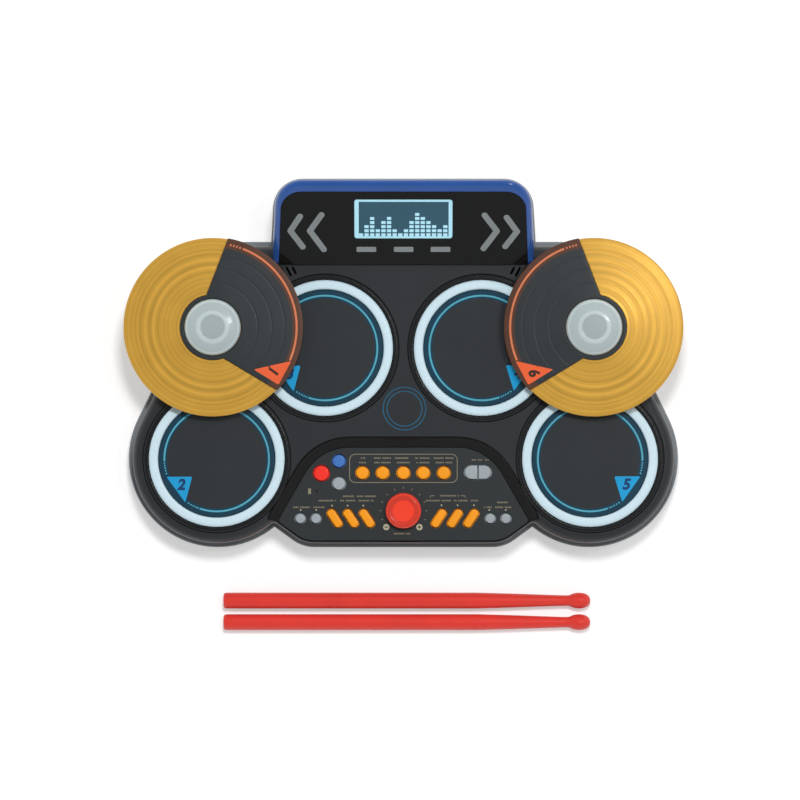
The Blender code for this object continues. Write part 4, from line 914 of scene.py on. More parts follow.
class DRUMPAD_OT_base(bpy.types.Operator):
    """Makes the bottom case with its battery bay and the wells of its feet, and its screws"""

    bl_idname = "drum_pad.base"
    bl_label = "Bottom case"

    def execute(self, context):
        settings = context.scene.drum_pad_case
        shell = loft(sections(CASE_AND_DISPLAY, softened(BASE_PROFILE, 1.2)))
        flare = loft(sections(CASE_BODY, softened(FLARE_PROFILE, 1.2)))
        shell = carved(shell, flare, operation="UNION")
        inside = [(5.9, 4.9), (2.2, 10.0), (1.0, 16.5), (1.0, 22.4)]
        shell = carved(shell, loft(sections(CASE_AND_DISPLAY, inside)))
        door = middle("battery_door")
        frame_size, recess_size = [[side + 2 * rim for side in DOOR_SIZE] for rim in (WALL, GAP)]
        walls = moved(rounded_rectangle(65.6, 59.6, 3.0), BAY_MIDDLE)
        door_frame = moved(rounded_rectangle(*frame_size, 4.0), door)
        blocks = [column(door_frame, FLOOR_Z, DOOR_TOP_Z + 2.3)]
        blocks.append(column(walls, DOOR_TOP_Z + 1.3, BAY_TOP_Z + 1.6))
        shell = carved(shell, *blocks, operation="UNION")
        recess = moved(rounded_rectangle(*recess_size, 3.0), door)
        bay = moved(rounded_rectangle(*BAY_SIZE, 2.0), BAY_MIDDLE)
        shell = carved(shell, column(recess, 0.0, DOOR_TOP_Z + GAP))
        shell = carved(shell, column(bay, DOOR_TOP_Z, BAY_TOP_Z))
        feet = [middle(f"foot_{name}") for name in QUARTERS]
        places = [(x * side, y) for x, y in CASE_SCREWS for side in SIDES.values()]
        wells = [column(circle(FOOT_WELL_RADIUS, at), 0.0, FLOOR_Z + 1.5) for at in feet]
        wells += [column(circle(SCREW_WELL_RADIUS, at), 0.0, FLOOR_Z + 1.6) for at in places]
        screw_hole = circle(DOOR_SCREW_HOLE_RADIUS, middle("battery_door_screw"))
        screw_hole = column(screw_hole, 4.0, 12.0)
        shell = carved(shell, joined(*wells), screw_hole)
        abs_base = base_abs(settings)
        piece("base_shell", shell, abs_base, nodes=("bottom_case",), flat=UP)
        heads = [screw_head(at, 2.7) for at in places]
        piece("case_screws", joined(*heads), plated_steel())
        return {"FINISHED"}


class DRUMPAD_OT_battery_cover(bpy.types.Operator):
    """Makes the battery cover with its grip ribs, and its screw"""

    bl_idname = "drum_pad.battery_cover"
    bl_label = "Battery cover"

    def execute(self, context):
        settings = context.scene.drum_pad_case
        door, screw = middle("battery_door"), middle("battery_door_screw")
        rings = []
        for inset, height in ((0.5, DOOR_Z), (0.0, DOOR_Z + 0.5), (0.0, DOOR_TOP_Z)):
            size = [side - 2 * inset for side in DOOR_SIZE]
            rings.append((moved(rounded_rectangle(*size, 2.7), door), height))
        grooves = [(door[0], door[1] + 27.0 - 2.6 * row) for row in range(6)]
        grooves = tiles(grooves, 24.0, 1.1, DOOR_Z - 1.0, DOOR_Z + 0.6)
        head_room = [(0.0, 1.0), (3.3, 1.0), (3.3, 4.4), (1.9, 4.4), (1.9, 8.0), (0.0, 8.0)]
        cover = carved(loft(rings), grooves, turned(head_room, screw, 48))
        nodes = ("battery_door",)
        finish = base_abs(settings)
        piece("battery_cover_plate", cover, finish, "battery_cover", nodes, flat=UP)
        shaft = [(0.0, 3.6), (1.55, 3.6), (1.55, 10.4), (1.0, 10.8), (0.0, 10.8)]
        shape = joined(screw_head(screw, DOOR_Z + 0.1), turned(shaft, screw, 24))
        nodes = ("battery_door_screw",)
        piece("battery_screw", shape, plated_steel(), "battery_cover", nodes)
        return {"FINISHED"}


class DRUMPAD_OT_feet(bpy.types.Operator):
    """Makes the four rubber feet"""

    bl_idname = "drum_pad.feet"
    bl_label = "Feet"

    def execute(self, context):
        # Moulded rubber: dead matt, with a dusty grain
        rubber = moulded("moulded_rubber_foot", linear("2b2b2b"), 0.85, grain=0.8, relief=0.04)
        foot = [(0.0, 0.25), (4.6, 0.25), (5.2, 0.0), (8.6, 0.0), (9.0, 0.8)]
        foot += [(9.0, 3.7), (0.0, 3.7)]
        for name in QUARTERS:
            node = f"foot_{name}"
            shape = turned(softened(foot, 0.3), middle(node), 64)
            piece(f"rubber_{node}", shape, rubber, nodes=(node,))
        return {"FINISHED"}


# Drum pads ---------------------------------------------------------------------------------------
LINE_RADIUS = 40.8
LINE_CLEARANCE = 17.0  # degrees between the line and the triangle, where the dots are
TRIANGLE = {
    "left": np.array(((-39.6, -13.9), (-19.3, -13.9), (-24.7, -34.3))),
    "right": np.array(((39.6, -13.6), (19.0, -13.6), (25.3, -33.9))),
}
PAD_NUMBERS = {"front_left": "2", "rear_left": "3", "rear_right": "4", "front_right": "5"}


def rounded_corners(points, radius):
    return softened(points, radius, 5, closed=True)


class DRUMPAD_OT_light_rings(bpy.types.Operator):
    """Makes the light ring round each pad"""

    bl_idname = "drum_pad.light_rings"
    bl_label = "Light rings"

    def execute(self, context):
        settings = context.scene.drum_pad_pads
        # Milky polycarbonate light pipe: it scatters light inside, so its edges stay bright
        haze = {"grain": 3.0, "relief": 0.01, "mottle": 0.02}
        milky = moulded("milky_polycarbonate", settings.ring, 0.3, **haze)
        ring = [(45.6, 47.3), (47.0, 48.6), (51.2, 48.6), (53.0, 47.2)]
        ring += [(53.0, 42.0), (48.2, 42.0), (48.2, 43.6), (45.6, 43.6)]
        for name, centre in PAD_CENTRES.items():
            node, shape = f"light_ring_{name}", turned_ring(ring, centre, 0.9)
            piece(f"milky_{node}", shape, milky, nodes=(node,))
        return {"FINISHED"}


class DRUMPAD_OT_drum_pads(bpy.types.Operator):
    """Makes the drum pads with their printed line, dots, triangle and number"""

    bl_idname = "drum_pad.drum_pads"
    bl_label = "Drum pads"

    def execute(self, context):
        settings = context.scene.drum_pad_pads
        # Silicone over a hard plate: matt, slightly dusty, with the blue band dyed in
        dust = {"grain": 1.3, "relief": 0.03, "mottle": 0.06}
        silicone = moulded("dyed_silicone_pad", settings.head, 0.55, **dust)
        by_radius(silicone, [(0.0, settings.head), (38.6, settings.band)])
        line_ink = ink("screen_printed_blue_line", settings.line)
        # The marker ink gives off a faint painted glow
        marker_ink = ink("screen_printed_marker", settings.marker, 0.1)
        number_ink = ink("screen_printed_number", settings.number)
        head = [(0.0, 39.0), (4.0, 39.0), (4.0, 45.3), (42.4, 45.3), (42.4, 41.6), (47.8, 41.6)]
        head += [(47.8, 43.3), (45.2, 43.3), (45.2, 47.4), (44.4, PAD_TOP_Z), (0.0, PAD_TOP_Z)]
        low, high = PAD_TOP_Z - INK, PAD_TOP_Z + INK
        steps = np.array((3.2, 6.4, 9.4, 12.2, 14.8))
        for name, centre in PAD_CENTRES.items():
            node, body = f"drum_pad_{name}", f"pad_{name}"
            pad = turned(softened(head, 0.35), centre)
            piece(f"silicone_{node}", pad, silicone, body, (node,), middle_at=centre)
            triangle = TRIANGLE[name.split("_")[1]]
            bearings = np.degrees(np.arctan2(triangle[:, 1], triangle[:, 0])) % 360.0
            first, last = sorted(bearings[[0, 2]])
            start, stop = last + LINE_CLEARANCE, first + 360.0 - LINE_CLEARANCE
            heights = (PAD_TOP_Z, PAD_TOP_Z)
            line = band(centre, LINE_RADIUS - 0.7, LINE_RADIUS + 0.7, start, stop, heights, 120)
            at = np.concatenate((last + steps, first - steps))
            dots = tiles(centre + LINE_RADIUS * direction(at), 1.15, 1.15, low, high, at)
            piece(f"pad_line_{name}", joined(line, dots), line_ink, body)
            marker = printed(rounded_corners(triangle * 0.99, 1.3) + centre, PAD_TOP_Z)
            piece(f"pad_marker_{name}", marker, marker_ink, body)
            at = centre + triangle.mean(axis=0) + (0.0, 0.4)
            number = numeral(PAD_NUMBERS[name], 11.5, at, 0.0, PAD_TOP_Z, PAD_TOP_Z + 2 * INK)
            piece(f"pad_number_{name}", number, number_ink, body)
        return {"FINISHED"}


# Control panel -----------------------------------------------------------------------------------
KNOB_AT = middle("volume_knob")[:2]
TICK_RADIUS = 17.9  # of the ticks round the knob
FRAME_Y = -47.2  # of the printed frame round the mode keys
TEMPO_SIZE = (20.8, 11.0)
TEMPO_AT = (middle("tempo_down_button")[:2] + middle("tempo_up_button")[:2]) / 2
SLANTED_SIZE = (6.6, 15.8)
SLANTED_RADIUS = 3.1
SLANTED_TILT = 33.6
KEY_GAP = 0.75  # round a key in its hole
ROUND_KEYS = {"power": 6.0, "wireless": 5.0, "input": 5.0, "mode": 5.0, "effect": 3.9}
KEY_KINDS = (*ROUND_KEYS, "select", "tempo")
KEY_NODES = sorted(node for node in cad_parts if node.split("_")[0] in KEY_KINDS)


def key_outline(node, out):
    """A key's outline in place, drawn out by a margin."""
    kind, at = node.split("_")[0], middle(node)[:2]
    if kind == "select":
        size = [side + 2 * out for side in SLANTED_SIZE]
        plan = rounded_rectangle(*size, SLANTED_RADIUS + out)
        return moved(plan, at, math.copysign(SLANTED_TILT, -at[0]))
    if kind == "tempo":
        run, width = TEMPO_SIZE
        cut = 0.3 - min(out, 0.0)
        end = arc(((run - width) / 2, 0.0), width / 2 + out, -90.0, 90.0, 24)
        half = np.concatenate((((cut, end[0, 1]),), end, ((cut, end[-1, 1]),)))
        return half * (-1.0 if "down" in node else 1.0, 1.0) + TEMPO_AT
    return circle(ROUND_KEYS[kind] + out, at)


class DRUMPAD_OT_panel(bpy.types.Operator):
    """Makes the control panel's plate with its key holes"""

    bl_idname = "drum_pad.panel"
    bl_label = "Control panel"

    def execute(self, context):
        settings = context.scene.drum_pad_panel
        edge = [(0.0, PLATE_Z - PLATE_THICKNESS), (0.0, PLATE_Z - 0.4), (0.12, PLATE_Z - 0.12)]
        plate = loft(sections(PANEL, edge + [(0.4, PLATE_Z), (0.9, PLATE_Z)]))
        holes = [key_outline(node, KEY_GAP) for node in KEY_NODES if node[:5] != "tempo"]
        run, width = [side + 2 * KEY_GAP for side in TEMPO_SIZE]
        holes.append(rounded_rectangle(run, width, width / 2 - 0.01) + TEMPO_AT)
        holes += [circle(3.6, KNOB_AT), circle(0.8, middle("microphone"), 16)]
        holes = [column(hole, PLATE_Z - 4.0, PLATE_Z + 2.0) for hole in holes]
        plate = carved(plate, joined(*holes))
        # Fine-textured ABS plate: satin, so that its printing reads
        satin = moulded("fine_textured_abs_plate", settings.plate, 0.4, grain=0.9, relief=0.02)
        nodes = ("control_panel",)
        piece("panel_plate", plate, satin, nodes=nodes, flat=UP)
        return {"FINISHED"}


def caption(first, last, y, seed):
    """A row of short bars that stands for a caption, with a gap after every few."""
    count = max(2, int((last - first) / CAPTION_PITCH))
    x = first + (np.arange(count) + 0.5) * (last - first) / count
    keep = (np.arange(count) * 5 + seed) % 13 > 0
    middles = np.column_stack((x, np.full(count, y)))[keep]
    return tiles(middles, 0.7, 1.15, PLATE_Z - INK, PLATE_Z + INK)


CAPTION_PITCH = 1.05
# Rows of captions: y, and then the first and the last x of each caption
CAPTIONS = [
    (-39.2, -34.6, -29.6, -23.2, -9.6, -6.6, 5.0, 9.2, 20.6, 23.6, 39.2),
    (-42.7, -34.8, -29.0, -22.8, -9.8, -5.2, 5.0, 10.0, 20.4, 25.2, 38.2),
    (-72.4, -66.4, -52.4, -49.6, -37.4, -35.2, -23.2),
    (-69.0, -48.6, -38.4, -36.4, -21.6),
    (-72.4, 17.6, 37.2, 39.4, 50.4, 52.4, 58.6),
    (-68.6, 28.4, 43.4),
    (-77.6, -86.2, -73.0, -70.4, -61.4, 62.6, 69.0, 71.6, 84.4),
    (-73.8, 73.0, 81.6),
    (-40.6, 53.2, 61.6),
    (-98.2, -7.6, 5.4),
]
KEY_DOTS = [(x, -76.3) for x in (-55.7, -43.6, -31.3)] + [(x, -76.0) for x in (29.8, 42.3, 55.1)]
KEY_DOTS += [(x, -79.7) for x in (-80.2, -68.1, 67.1, 79.9)]


class DRUMPAD_OT_panel_printing(bpy.types.Operator):
    """Makes the panel's printing: a frame, captions, ticks, dots and the signs at the knob"""

    bl_idname = "drum_pad.panel_printing"
    bl_label = "Panel printing"

    def execute(self, context):
        settings = context.scene.drum_pad_panel
        low, high = PLATE_Z - INK, PLATE_Z + INK
        beige = ink("screen_printed_beige", settings.ink)
        cream = ink("screen_printed_cream", settings.cream)
        dark = ink("screen_printed_black", linear("26282a"))
        sizes = ((84.6, 22.6, 4.7), (83.5, 21.5, 4.15))
        outer, inner = [rounded_rectangle(*size) + (0.0, FRAME_Y) for size in sizes]
        border = [(outer, low), (outer, high), (inner, high), (inner, low)]
        border = skin([level(*ring) for ring in border], closed=True)
        spans = [(*ends, y) for y, *row in CAPTIONS for ends in zip(row[::2], row[1::2])]
        rows = [caption(*span, seed) for seed, span in enumerate(spans)]
        bearings = 90.0 + 22.5 * np.arange(-5, 6)
        ticks = tiles(KNOB_AT + TICK_RADIUS * direction(bearings), 1.5, 0.5, low, high, bearings)
        marks = [
            tiles([(22.6, -68.6), (46.6, -68.6)], 3.6, 0.5, low, high),
            tiles([(21.0, -69.3), (48.2, -69.3)], 0.5, 1.8, low, high),
            tiles([(-73.3, -65.1)], 2.2, 4.4, low, high),
            tiles([(65.0, -40.6)], 3.2, 0.5, low, high),
        ]
        piece("panel_captions", joined(border, *rows, ticks, *marks), beige)
        signs = [KNOB_AT + at for at in ((-13.4, -12.8), (12.5, -12.8))]
        discs = [printed(circle(2.45, at, 32), PLATE_Z) for at in signs]
        dots = tiles(KEY_DOTS, 1.1, 1.1, low, high, 45.0)
        piece("panel_signs", joined(dots, *discs), cream)
        across = tiles(signs, 2.6, 0.7, high, high + INK)
        upright = tiles(signs[1:], 0.7, 2.6, high, high + INK)
        piece("sign_bars", joined(across, upright), dark)
        return {"FINISHED"}


KEY_PROFILE = [(1.2, 36.0), (1.2, 38.7), (0.0, 38.7), (-0.15, 41.6)]
KEY_PROFILE += [(-0.4, 42.35), (-1.0, 42.6), (-1.6, 42.65)]


class DRUMPAD_OT_keys(bpy.types.Operator):
    """Makes the keys, each a low dome that rises out of its hole"""

    bl_idname = "drum_pad.keys"
    bl_label = "Keys"

    def execute(self, context):
        settings = context.scene.drum_pad_panel
        names = {"mode": "orange", "select": "orange", "power": "red", "wireless": "blue"}
        colours = {"orange": settings.mode, "red": settings.power, "blue": settings.wireless}
        for node in KEY_NODES:
            name = names.get(node.split("_")[0], "grey")
            colour, slot = colours.get(name, settings.grey), f"key_{name}"
            # Keypad silicone with a polyurethane coat: smooth, softly glossy
            coat = {"grain": 1.0, "relief": 0.006, "mottle": 0.04}
            finish = moulded(f"coated_silicone_{slot}", colour, 0.35, **coat)
            key = loft([(key_outline(node, out), height) for out, height in KEY_PROFILE])
            piece(f"cap_{node}", key, finish, f"{node}_body", (node,))
        return {"FINISHED"}


class DRUMPAD_OT_knob(bpy.types.Operator):
    """Makes the volume knob: a cup with a raised rim and a flat middle"""

    bl_idname = "drum_pad.knob"
    bl_label = "Volume knob"

    def execute(self, context):
        settings = context.scene.drum_pad_panel
        # Gloss-moulded ABS: the rim is painted a little lighter as a painted highlight, and the
        # hollow inside it a shade deeper as painted shade
        smooth = {"grain": 2.5, "relief": 0.001, "mottle": 0.02, "gloss_spread": 0.02}
        gloss = moulded("gloss_abs_knob", settings.knob, 0.26, **smooth)
        painted_light_tones = ((0.0, 1.0), (8.4, 0.7), (12.7, 1.1))
        by_radius(gloss, [(at, settings.knob * share) for at, share in painted_light_tones])
        knob = [(0.0, 33.9), (3.0, 33.9), (3.0, 41.3), (13.7, 41.3), (14.0, 41.8), (13.5, 48.6)]
        knob += [(12.6, 49.9), (11.4, 50.5), (10.2, 50.3), (9.3, 49.7), (0.0, 49.5)]
        cup = turned(softened(knob, 0.5), KNOB_AT)
        piece("knob_cup", cup, gloss, "knob", ("volume_knob",), middle_at=KNOB_AT)
        return {"FINISHED"}


# Display -----------------------------------------------------------------------------------------
HOUSING_EDGE = [(0.0, 5.5), (0.25, 3.9), (1.0, 2.3), (2.3, 0.95), (4.2, 0.15), (5.3, 0.0)]
ROOF_DROP = 4.5 / math.cos(SLOPE_TILT)
FASCIA_CORNER = 16.0
SCREEN_AT = (0.0, 39.2)  # across the slope and up it
GLASS = -0.8  # of the screen's face out of the fascia's


def housing_top(drop):
    """The height of the housing's rim, less a drop, over a place's y."""
    return lambda y: SLOPE_Z + 0.6 + (y - SLOPE_Y) * math.tan(SLOPE_TILT) - drop


def housing_plan(inset, front):
    """The housing from above: sharp front corners, narrowing sides and a round back."""
    centre, radius, first, last = DISPLAY_BACK
    normal = direction(DISPLAY_SIDE[0])
    side_x = (DISPLAY_SIDE[1] - inset - front * normal[1]) / normal[0]
    return whole(np.concatenate((((side_x, front),), arc(centre, radius - inset, first, last, 24))))


def fascia_plan(inset, front=0.0):
    """The fascia on the slope, across it and up it, as the part draws it."""
    run = (DISPLAY_DEPTH - 9.2) / math.cos(SLOPE_TILT)
    narrowing = run * math.tan(math.radians(DISPLAY_SIDE[0])) * 0.7
    bearing = math.degrees(math.atan2(narrowing, run))
    normal = direction(bearing)
    half_width = DISPLAY_HALF_WIDTH - 5.5 - inset
    radius = FASCIA_CORNER - inset
    centre = corner((bearing, half_width * normal[0]), (90.0, run - inset), radius)
    front_x = half_width - front * normal[1] / normal[0]
    return whole(np.concatenate((((front_x, front),), arc(centre, radius, bearing, 90.0, 24))))


class DRUMPAD_OT_housing(bpy.types.Operator):
    """Makes the display housing: rounded edges round a pocket for the fascia"""

    bl_idname = "drum_pad.housing"
    bl_label = "Display housing"

    def execute(self, context):
        settings = context.scene.drum_pad_display
        rings = [(housing_plan(0.0, SLOPE_Y), SEAM_Z + GAP)]
        for inset, drop in HOUSING_EDGE:
            rings.append((housing_plan(inset, SLOPE_Y + inset), housing_top(drop)))
        under = rounded_rectangle(400.0, 2 * (DISPLAY_STEP_Y - SLOPE_Y), 1.0) + (0.0, SLOPE_Y)
        hollow = housing_plan(WALL, DISPLAY_STEP_Y + WALL)
        shell = carved(
            loft(rings),
            column(under, 10.0, DECK_Z + GAP),
            column(hollow, 10.0, housing_top(ROOF_DROP)),
            on_slope(column(fascia_plan(-GAP, front=-9.6), -2.5, 9.6)),
            on_slope(column(fascia_plan(4.0, front=8.0), -13.6, WALL)),
        )
        # Gloss ABS from a polished tool: deep colour, clear highlights along its rounded rim
        polish = {"grain": 4.0, "relief": 0.004, "Coat_Weight": 0.5}
        gloss = moulded("gloss_blue_abs", settings.housing, 0.16, **polish)
        nodes = ("display_housing",)
        piece("housing_shell", shell, gloss, nodes=nodes, flat=SLOPE_UP)
        return {"FINISHED"}


# Each a bent line, by its places in the photographed view
CHEVRONS = [
    ((300.5, 217.0), (290.8, 231.2), (303.0, 247.0)),
    ((321.9, 215.4), (310.2, 231.2), (324.0, 249.6)),
    ((484.2, 215.8), (496.5, 231.4), (483.3, 248.6)),
    ((506.1, 218.0), (516.6, 231.9), (505.0, 246.6)),
]


class DRUMPAD_OT_fascia(bpy.types.Operator):
    """Makes the fascia with its window, its two fine grooves and its printed marks"""

    bl_idname = "drum_pad.fascia"
    bl_label = "Fascia"

    def execute(self, context):
        settings = context.scene.drum_pad_display
        edge = [(0.0, -2.2), (0.0, -0.35), (0.1, -0.1), (0.35, 0.0)]
        sheet = loft([(fascia_plan(inset, inset), height) for inset, height in edge])
        window = column(rounded_rectangle(76.6, 34.3, 2.4) + SCREEN_AT, -5.0, 3.0)
        grooves = tiles([(-48.8, 40.0), (48.4, 40.0)], 0.6, 100.0, -0.16, 3.0)
        sheet = on_slope(carved(sheet, window, grooves))
        # Piano-black acrylic-coated ABS: a mirror over black, faintly hazed by wiping
        haze = {"grain": 6.0, "relief": 0.003, "gloss_spread": 0.03, "Specular_IOR_Level": 0.3}
        piano = moulded("piano_black_acrylic", settings.fascia, 0.14, **haze)
        nodes = ("display_fascia",)
        piece("fascia_sheet", sheet, piano, nodes=nodes, flat=SLOPE_UP)
        marks = []
        for points in CHEVRONS:
            x, y = from_view(points).T
            marks.append(stroke(np.column_stack((x, up_slope(y))), 2.35))
        for x in (-28.8, 0.2, 28.9):
            marks.append(rounded_rectangle(15.3, 4.4, 0.9) + (x, up_slope(123.6)))
        marks = joined(*(printed(mark, 0.0) for mark in marks))
        grey = ink("screen_printed_grey", settings.mark)
        piece("fascia_marks", on_slope(marks), grey)
        return {"FINISHED"}


BAR_LEVELS = (1, 3, 5, 2, 4, 5, 2, 1, 2, 4, 6, 5, 4, 3, 2, 3)


def backlit(name, colour, mottle):
    """Backlit liquid crystal behind glass: an even glow, with no grain of its own."""
    glow = {"Emission_Color": (*colour, 1.0), "Emission_Strength": 0.25}
    return moulded(name, colour, 0.2, grain=8.0, relief=0.001, mottle=mottle, **glow)


class DRUMPAD_OT_screen(bpy.types.Operator):
    """Makes the lit face of the display: a pale frame, a dark ground and columns of level bars"""

    bl_idname = "drum_pad.screen"
    bl_label = "Screen"

    def execute(self, context):
        settings = context.scene.drum_pad_display
        lit = backlit("backlit_segments", settings.segment, 0.03)
        ground = backlit("backlit_ground", settings.screen, 0.08)
        border = rounded_rectangle(76.1, 33.8, 2.2) + SCREEN_AT
        border = on_slope(column(border, GLASS, GLASS + INK))
        piece("screen_frame", border, lit)
        low, high = up_slope(133.4), up_slope(159.9)
        inner = rounded_rectangle(69.8, high - low, 0.4) + (0.2, (low + high) / 2)
        inner = on_slope(column(inner, GLASS, GLASS + 2 * INK))
        piece("screen_ground", inner, ground)
        blocks = [
            (-33.0 + 4.37 * place, low + 1.3 + 3.55 * row)
            for place, count in enumerate(BAR_LEVELS)
            for row in range(count)
        ]
        bars = tiles(blocks, 3.3, 2.45, GLASS, GLASS + 3 * INK)
        piece("screen_bars", on_slope(bars), lit)
        refinish("lcd_module", ground)
        return {"FINISHED"}


# Cymbals -----------------------------------------------------------------------------------------
class DRUMPAD_OT_arms(bpy.types.Operator):
    """Makes the swinging arms and the pins they turn on"""

    bl_idname = "drum_pad.arms"
    bl_label = "Cymbal arms"

    def execute(self, context):
        settings = context.scene.drum_pad_cymbals
        # Metallised ABS, satin: metal flake under lacquer
        flake = {"grain": 1.0, "relief": 0.006, "Metallic": 0.3}
        gold = moulded("metallised_abs_arm", settings.gold, 0.34, **flake)
        edges = [(0.8, ARM_Z), (0.2, ARM_Z + 0.3), (0.0, ARM_Z + 1.0), (0.0, ARM_TOP_Z - 1.2)]
        edges += [(0.35, ARM_TOP_Z - 0.4), (1.1, ARM_TOP_Z)]
        pin = [(0.0, 40.5), (5.0, 40.5), (5.0, 43.3), (3.0, 43.3), (3.0, 55.5), (6.5, 55.5)]
        pin += [(6.5, 56.2), (5.6, 56.6), (2.2, 56.6), (1.8, 56.3), (0.0, 56.3)]
        for side in SIDES:
            body, centre, pivot = cymbal(side)
            reach = centre - pivot
            heading = math.degrees(math.atan2(reach[1], reach[0]))
            lean = (PIVOT_END_RADIUS - HUB_END_RADIUS) / math.hypot(*reach)
            first = heading + math.degrees(math.acos(lean))
            last = 2 * heading - first
            rings = []
            for inset, height in edges:
                near = arc(pivot, PIVOT_END_RADIUS - inset, first, last + 360.0, 40)
                far = arc(centre, HUB_END_RADIUS - inset, last, first, 40)
                rings.append((np.concatenate((near, far)), height))
            hub = column(circle(12.7, centre, 64), ARM_Z + 2.0, HUB_TOP_Z)
            holes = (circle(PIN_HOLE_RADIUS, pivot), circle(7.3, centre))
            bores = joined(*(column(hole, 45.0, 60.0) for hole in holes))
            arm = carved(carved(loft(rings), hub, operation="UNION"), bores)
            piece(f"arm_{side}", arm, gold, body, (f"cymbal_arm_{side}",), flat=UP)
            shape, nodes = turned(softened(pin, 0.3), pivot, 48), (f"pivot_pin_{side}",)
            piece(f"pin_{side}", shape, plated_steel(), nodes=nodes)
        return {"FINISHED"}


BAND_PITCH = 7.5  # of the shallow waves on a disc
BAND_DEPTH = 0.05


class DRUMPAD_OT_discs(bpy.types.Operator):
    """Makes the cymbal discs, turned with shallow bands, with a pocket for the strike pad"""

    bl_idname = "drum_pad.discs"
    bl_label = "Cymbal discs"

    def execute(self, context):
        settings = context.scene.drum_pad_cymbals
        # Metallised plastic over a lathe-turned mould: rings of fine grooves that catch the light,
        # their tone also painted lighter and darker ring by ring as painted sheen
        sheen = {"relief": 0.001, "mottle": 0.06, "gloss_spread": 0.005, "Metallic": 0.4}
        gold = moulded("metallised_turned_disc", settings.gold, 0.34, **sheen)
        spun(gold, pitch=3.4, depth=0.02)
        radius = np.arange(DISC_HUB_RADIUS, 67.0, 0.5)
        bands = BAND_DEPTH * np.sin(2 * np.pi * radius / BAND_PITCH) ** 3
        top = np.column_stack((radius, disc_top(radius) + bands))[::-1]
        profile = [(0.0, 53.0), (7.0, 53.0), (7.0, 57.9), (14.0, 57.9), (15.0, DISC_Z)]
        profile += [(66.0, DISC_Z), (67.5, 57.05), (68.8, 57.4), (69.4, 58.1), (DISC_RADIUS, 59.0)]
        profile += [(DISC_RADIUS, 60.4), (69.25, 60.95), (68.6, 61.25)]
        profile += top.tolist() + [(0.0, DISC_HUB_Z)]
        low, above = DISC_HUB_Z - 1.9, 75.0
        floor = [(21.5, low), (DISC_HUB_RADIUS, low), (76.0, float(disc_top(76.0)) - 1.9)]
        floor += [(76.0, above), (21.5, above)]
        collar = [(21.5, low), (25.8, DISC_HUB_Z - 2.09), (25.8, above), (21.5, above)]
        for side, sign in SIDES.items():
            body, centre, _ = cymbal(side)
            pocket = (wedge(centre, sign, floor, 0.4), turned(collar, centre))
            disc = carved(turned(profile, centre, 192), *pocket)
            name, nodes = f"disc_{side}", (f"cymbal_disc_{side}",)
            piece(name, disc, gold, body, nodes, middle_at=centre)
        return {"FINISHED"}


# On the left-hand strike pad, from the middle of its disc
GROOVE_RADII = (35.0, 46.0, 56.0)
GROOVE_DEPTH = 0.14
GROOVE_WIDTH = 0.6
STRIKE_LINE = (64.5, 66.1)
STRIKE_MARKER = np.array(((31.9, -32.8), (61.1, -26.3), (51.2, -44.8)))
STRIKE_NUMBER_AT = (47.4, -35.2)
STRIKE_NUMBERS = {"left": "1", "right": "6"}


def laid(shape, lift=0.0):
    """A flat print raised onto the top of a strike pad, round the middle of the disc."""

    def on_top(points):
        height = disc_top(np.linalg.norm(points[:, :2], axis=1)) + STRIKE_PROUD + lift
        return points + height[:, None] * np.array(UP)

    return altered(shape, on_top)


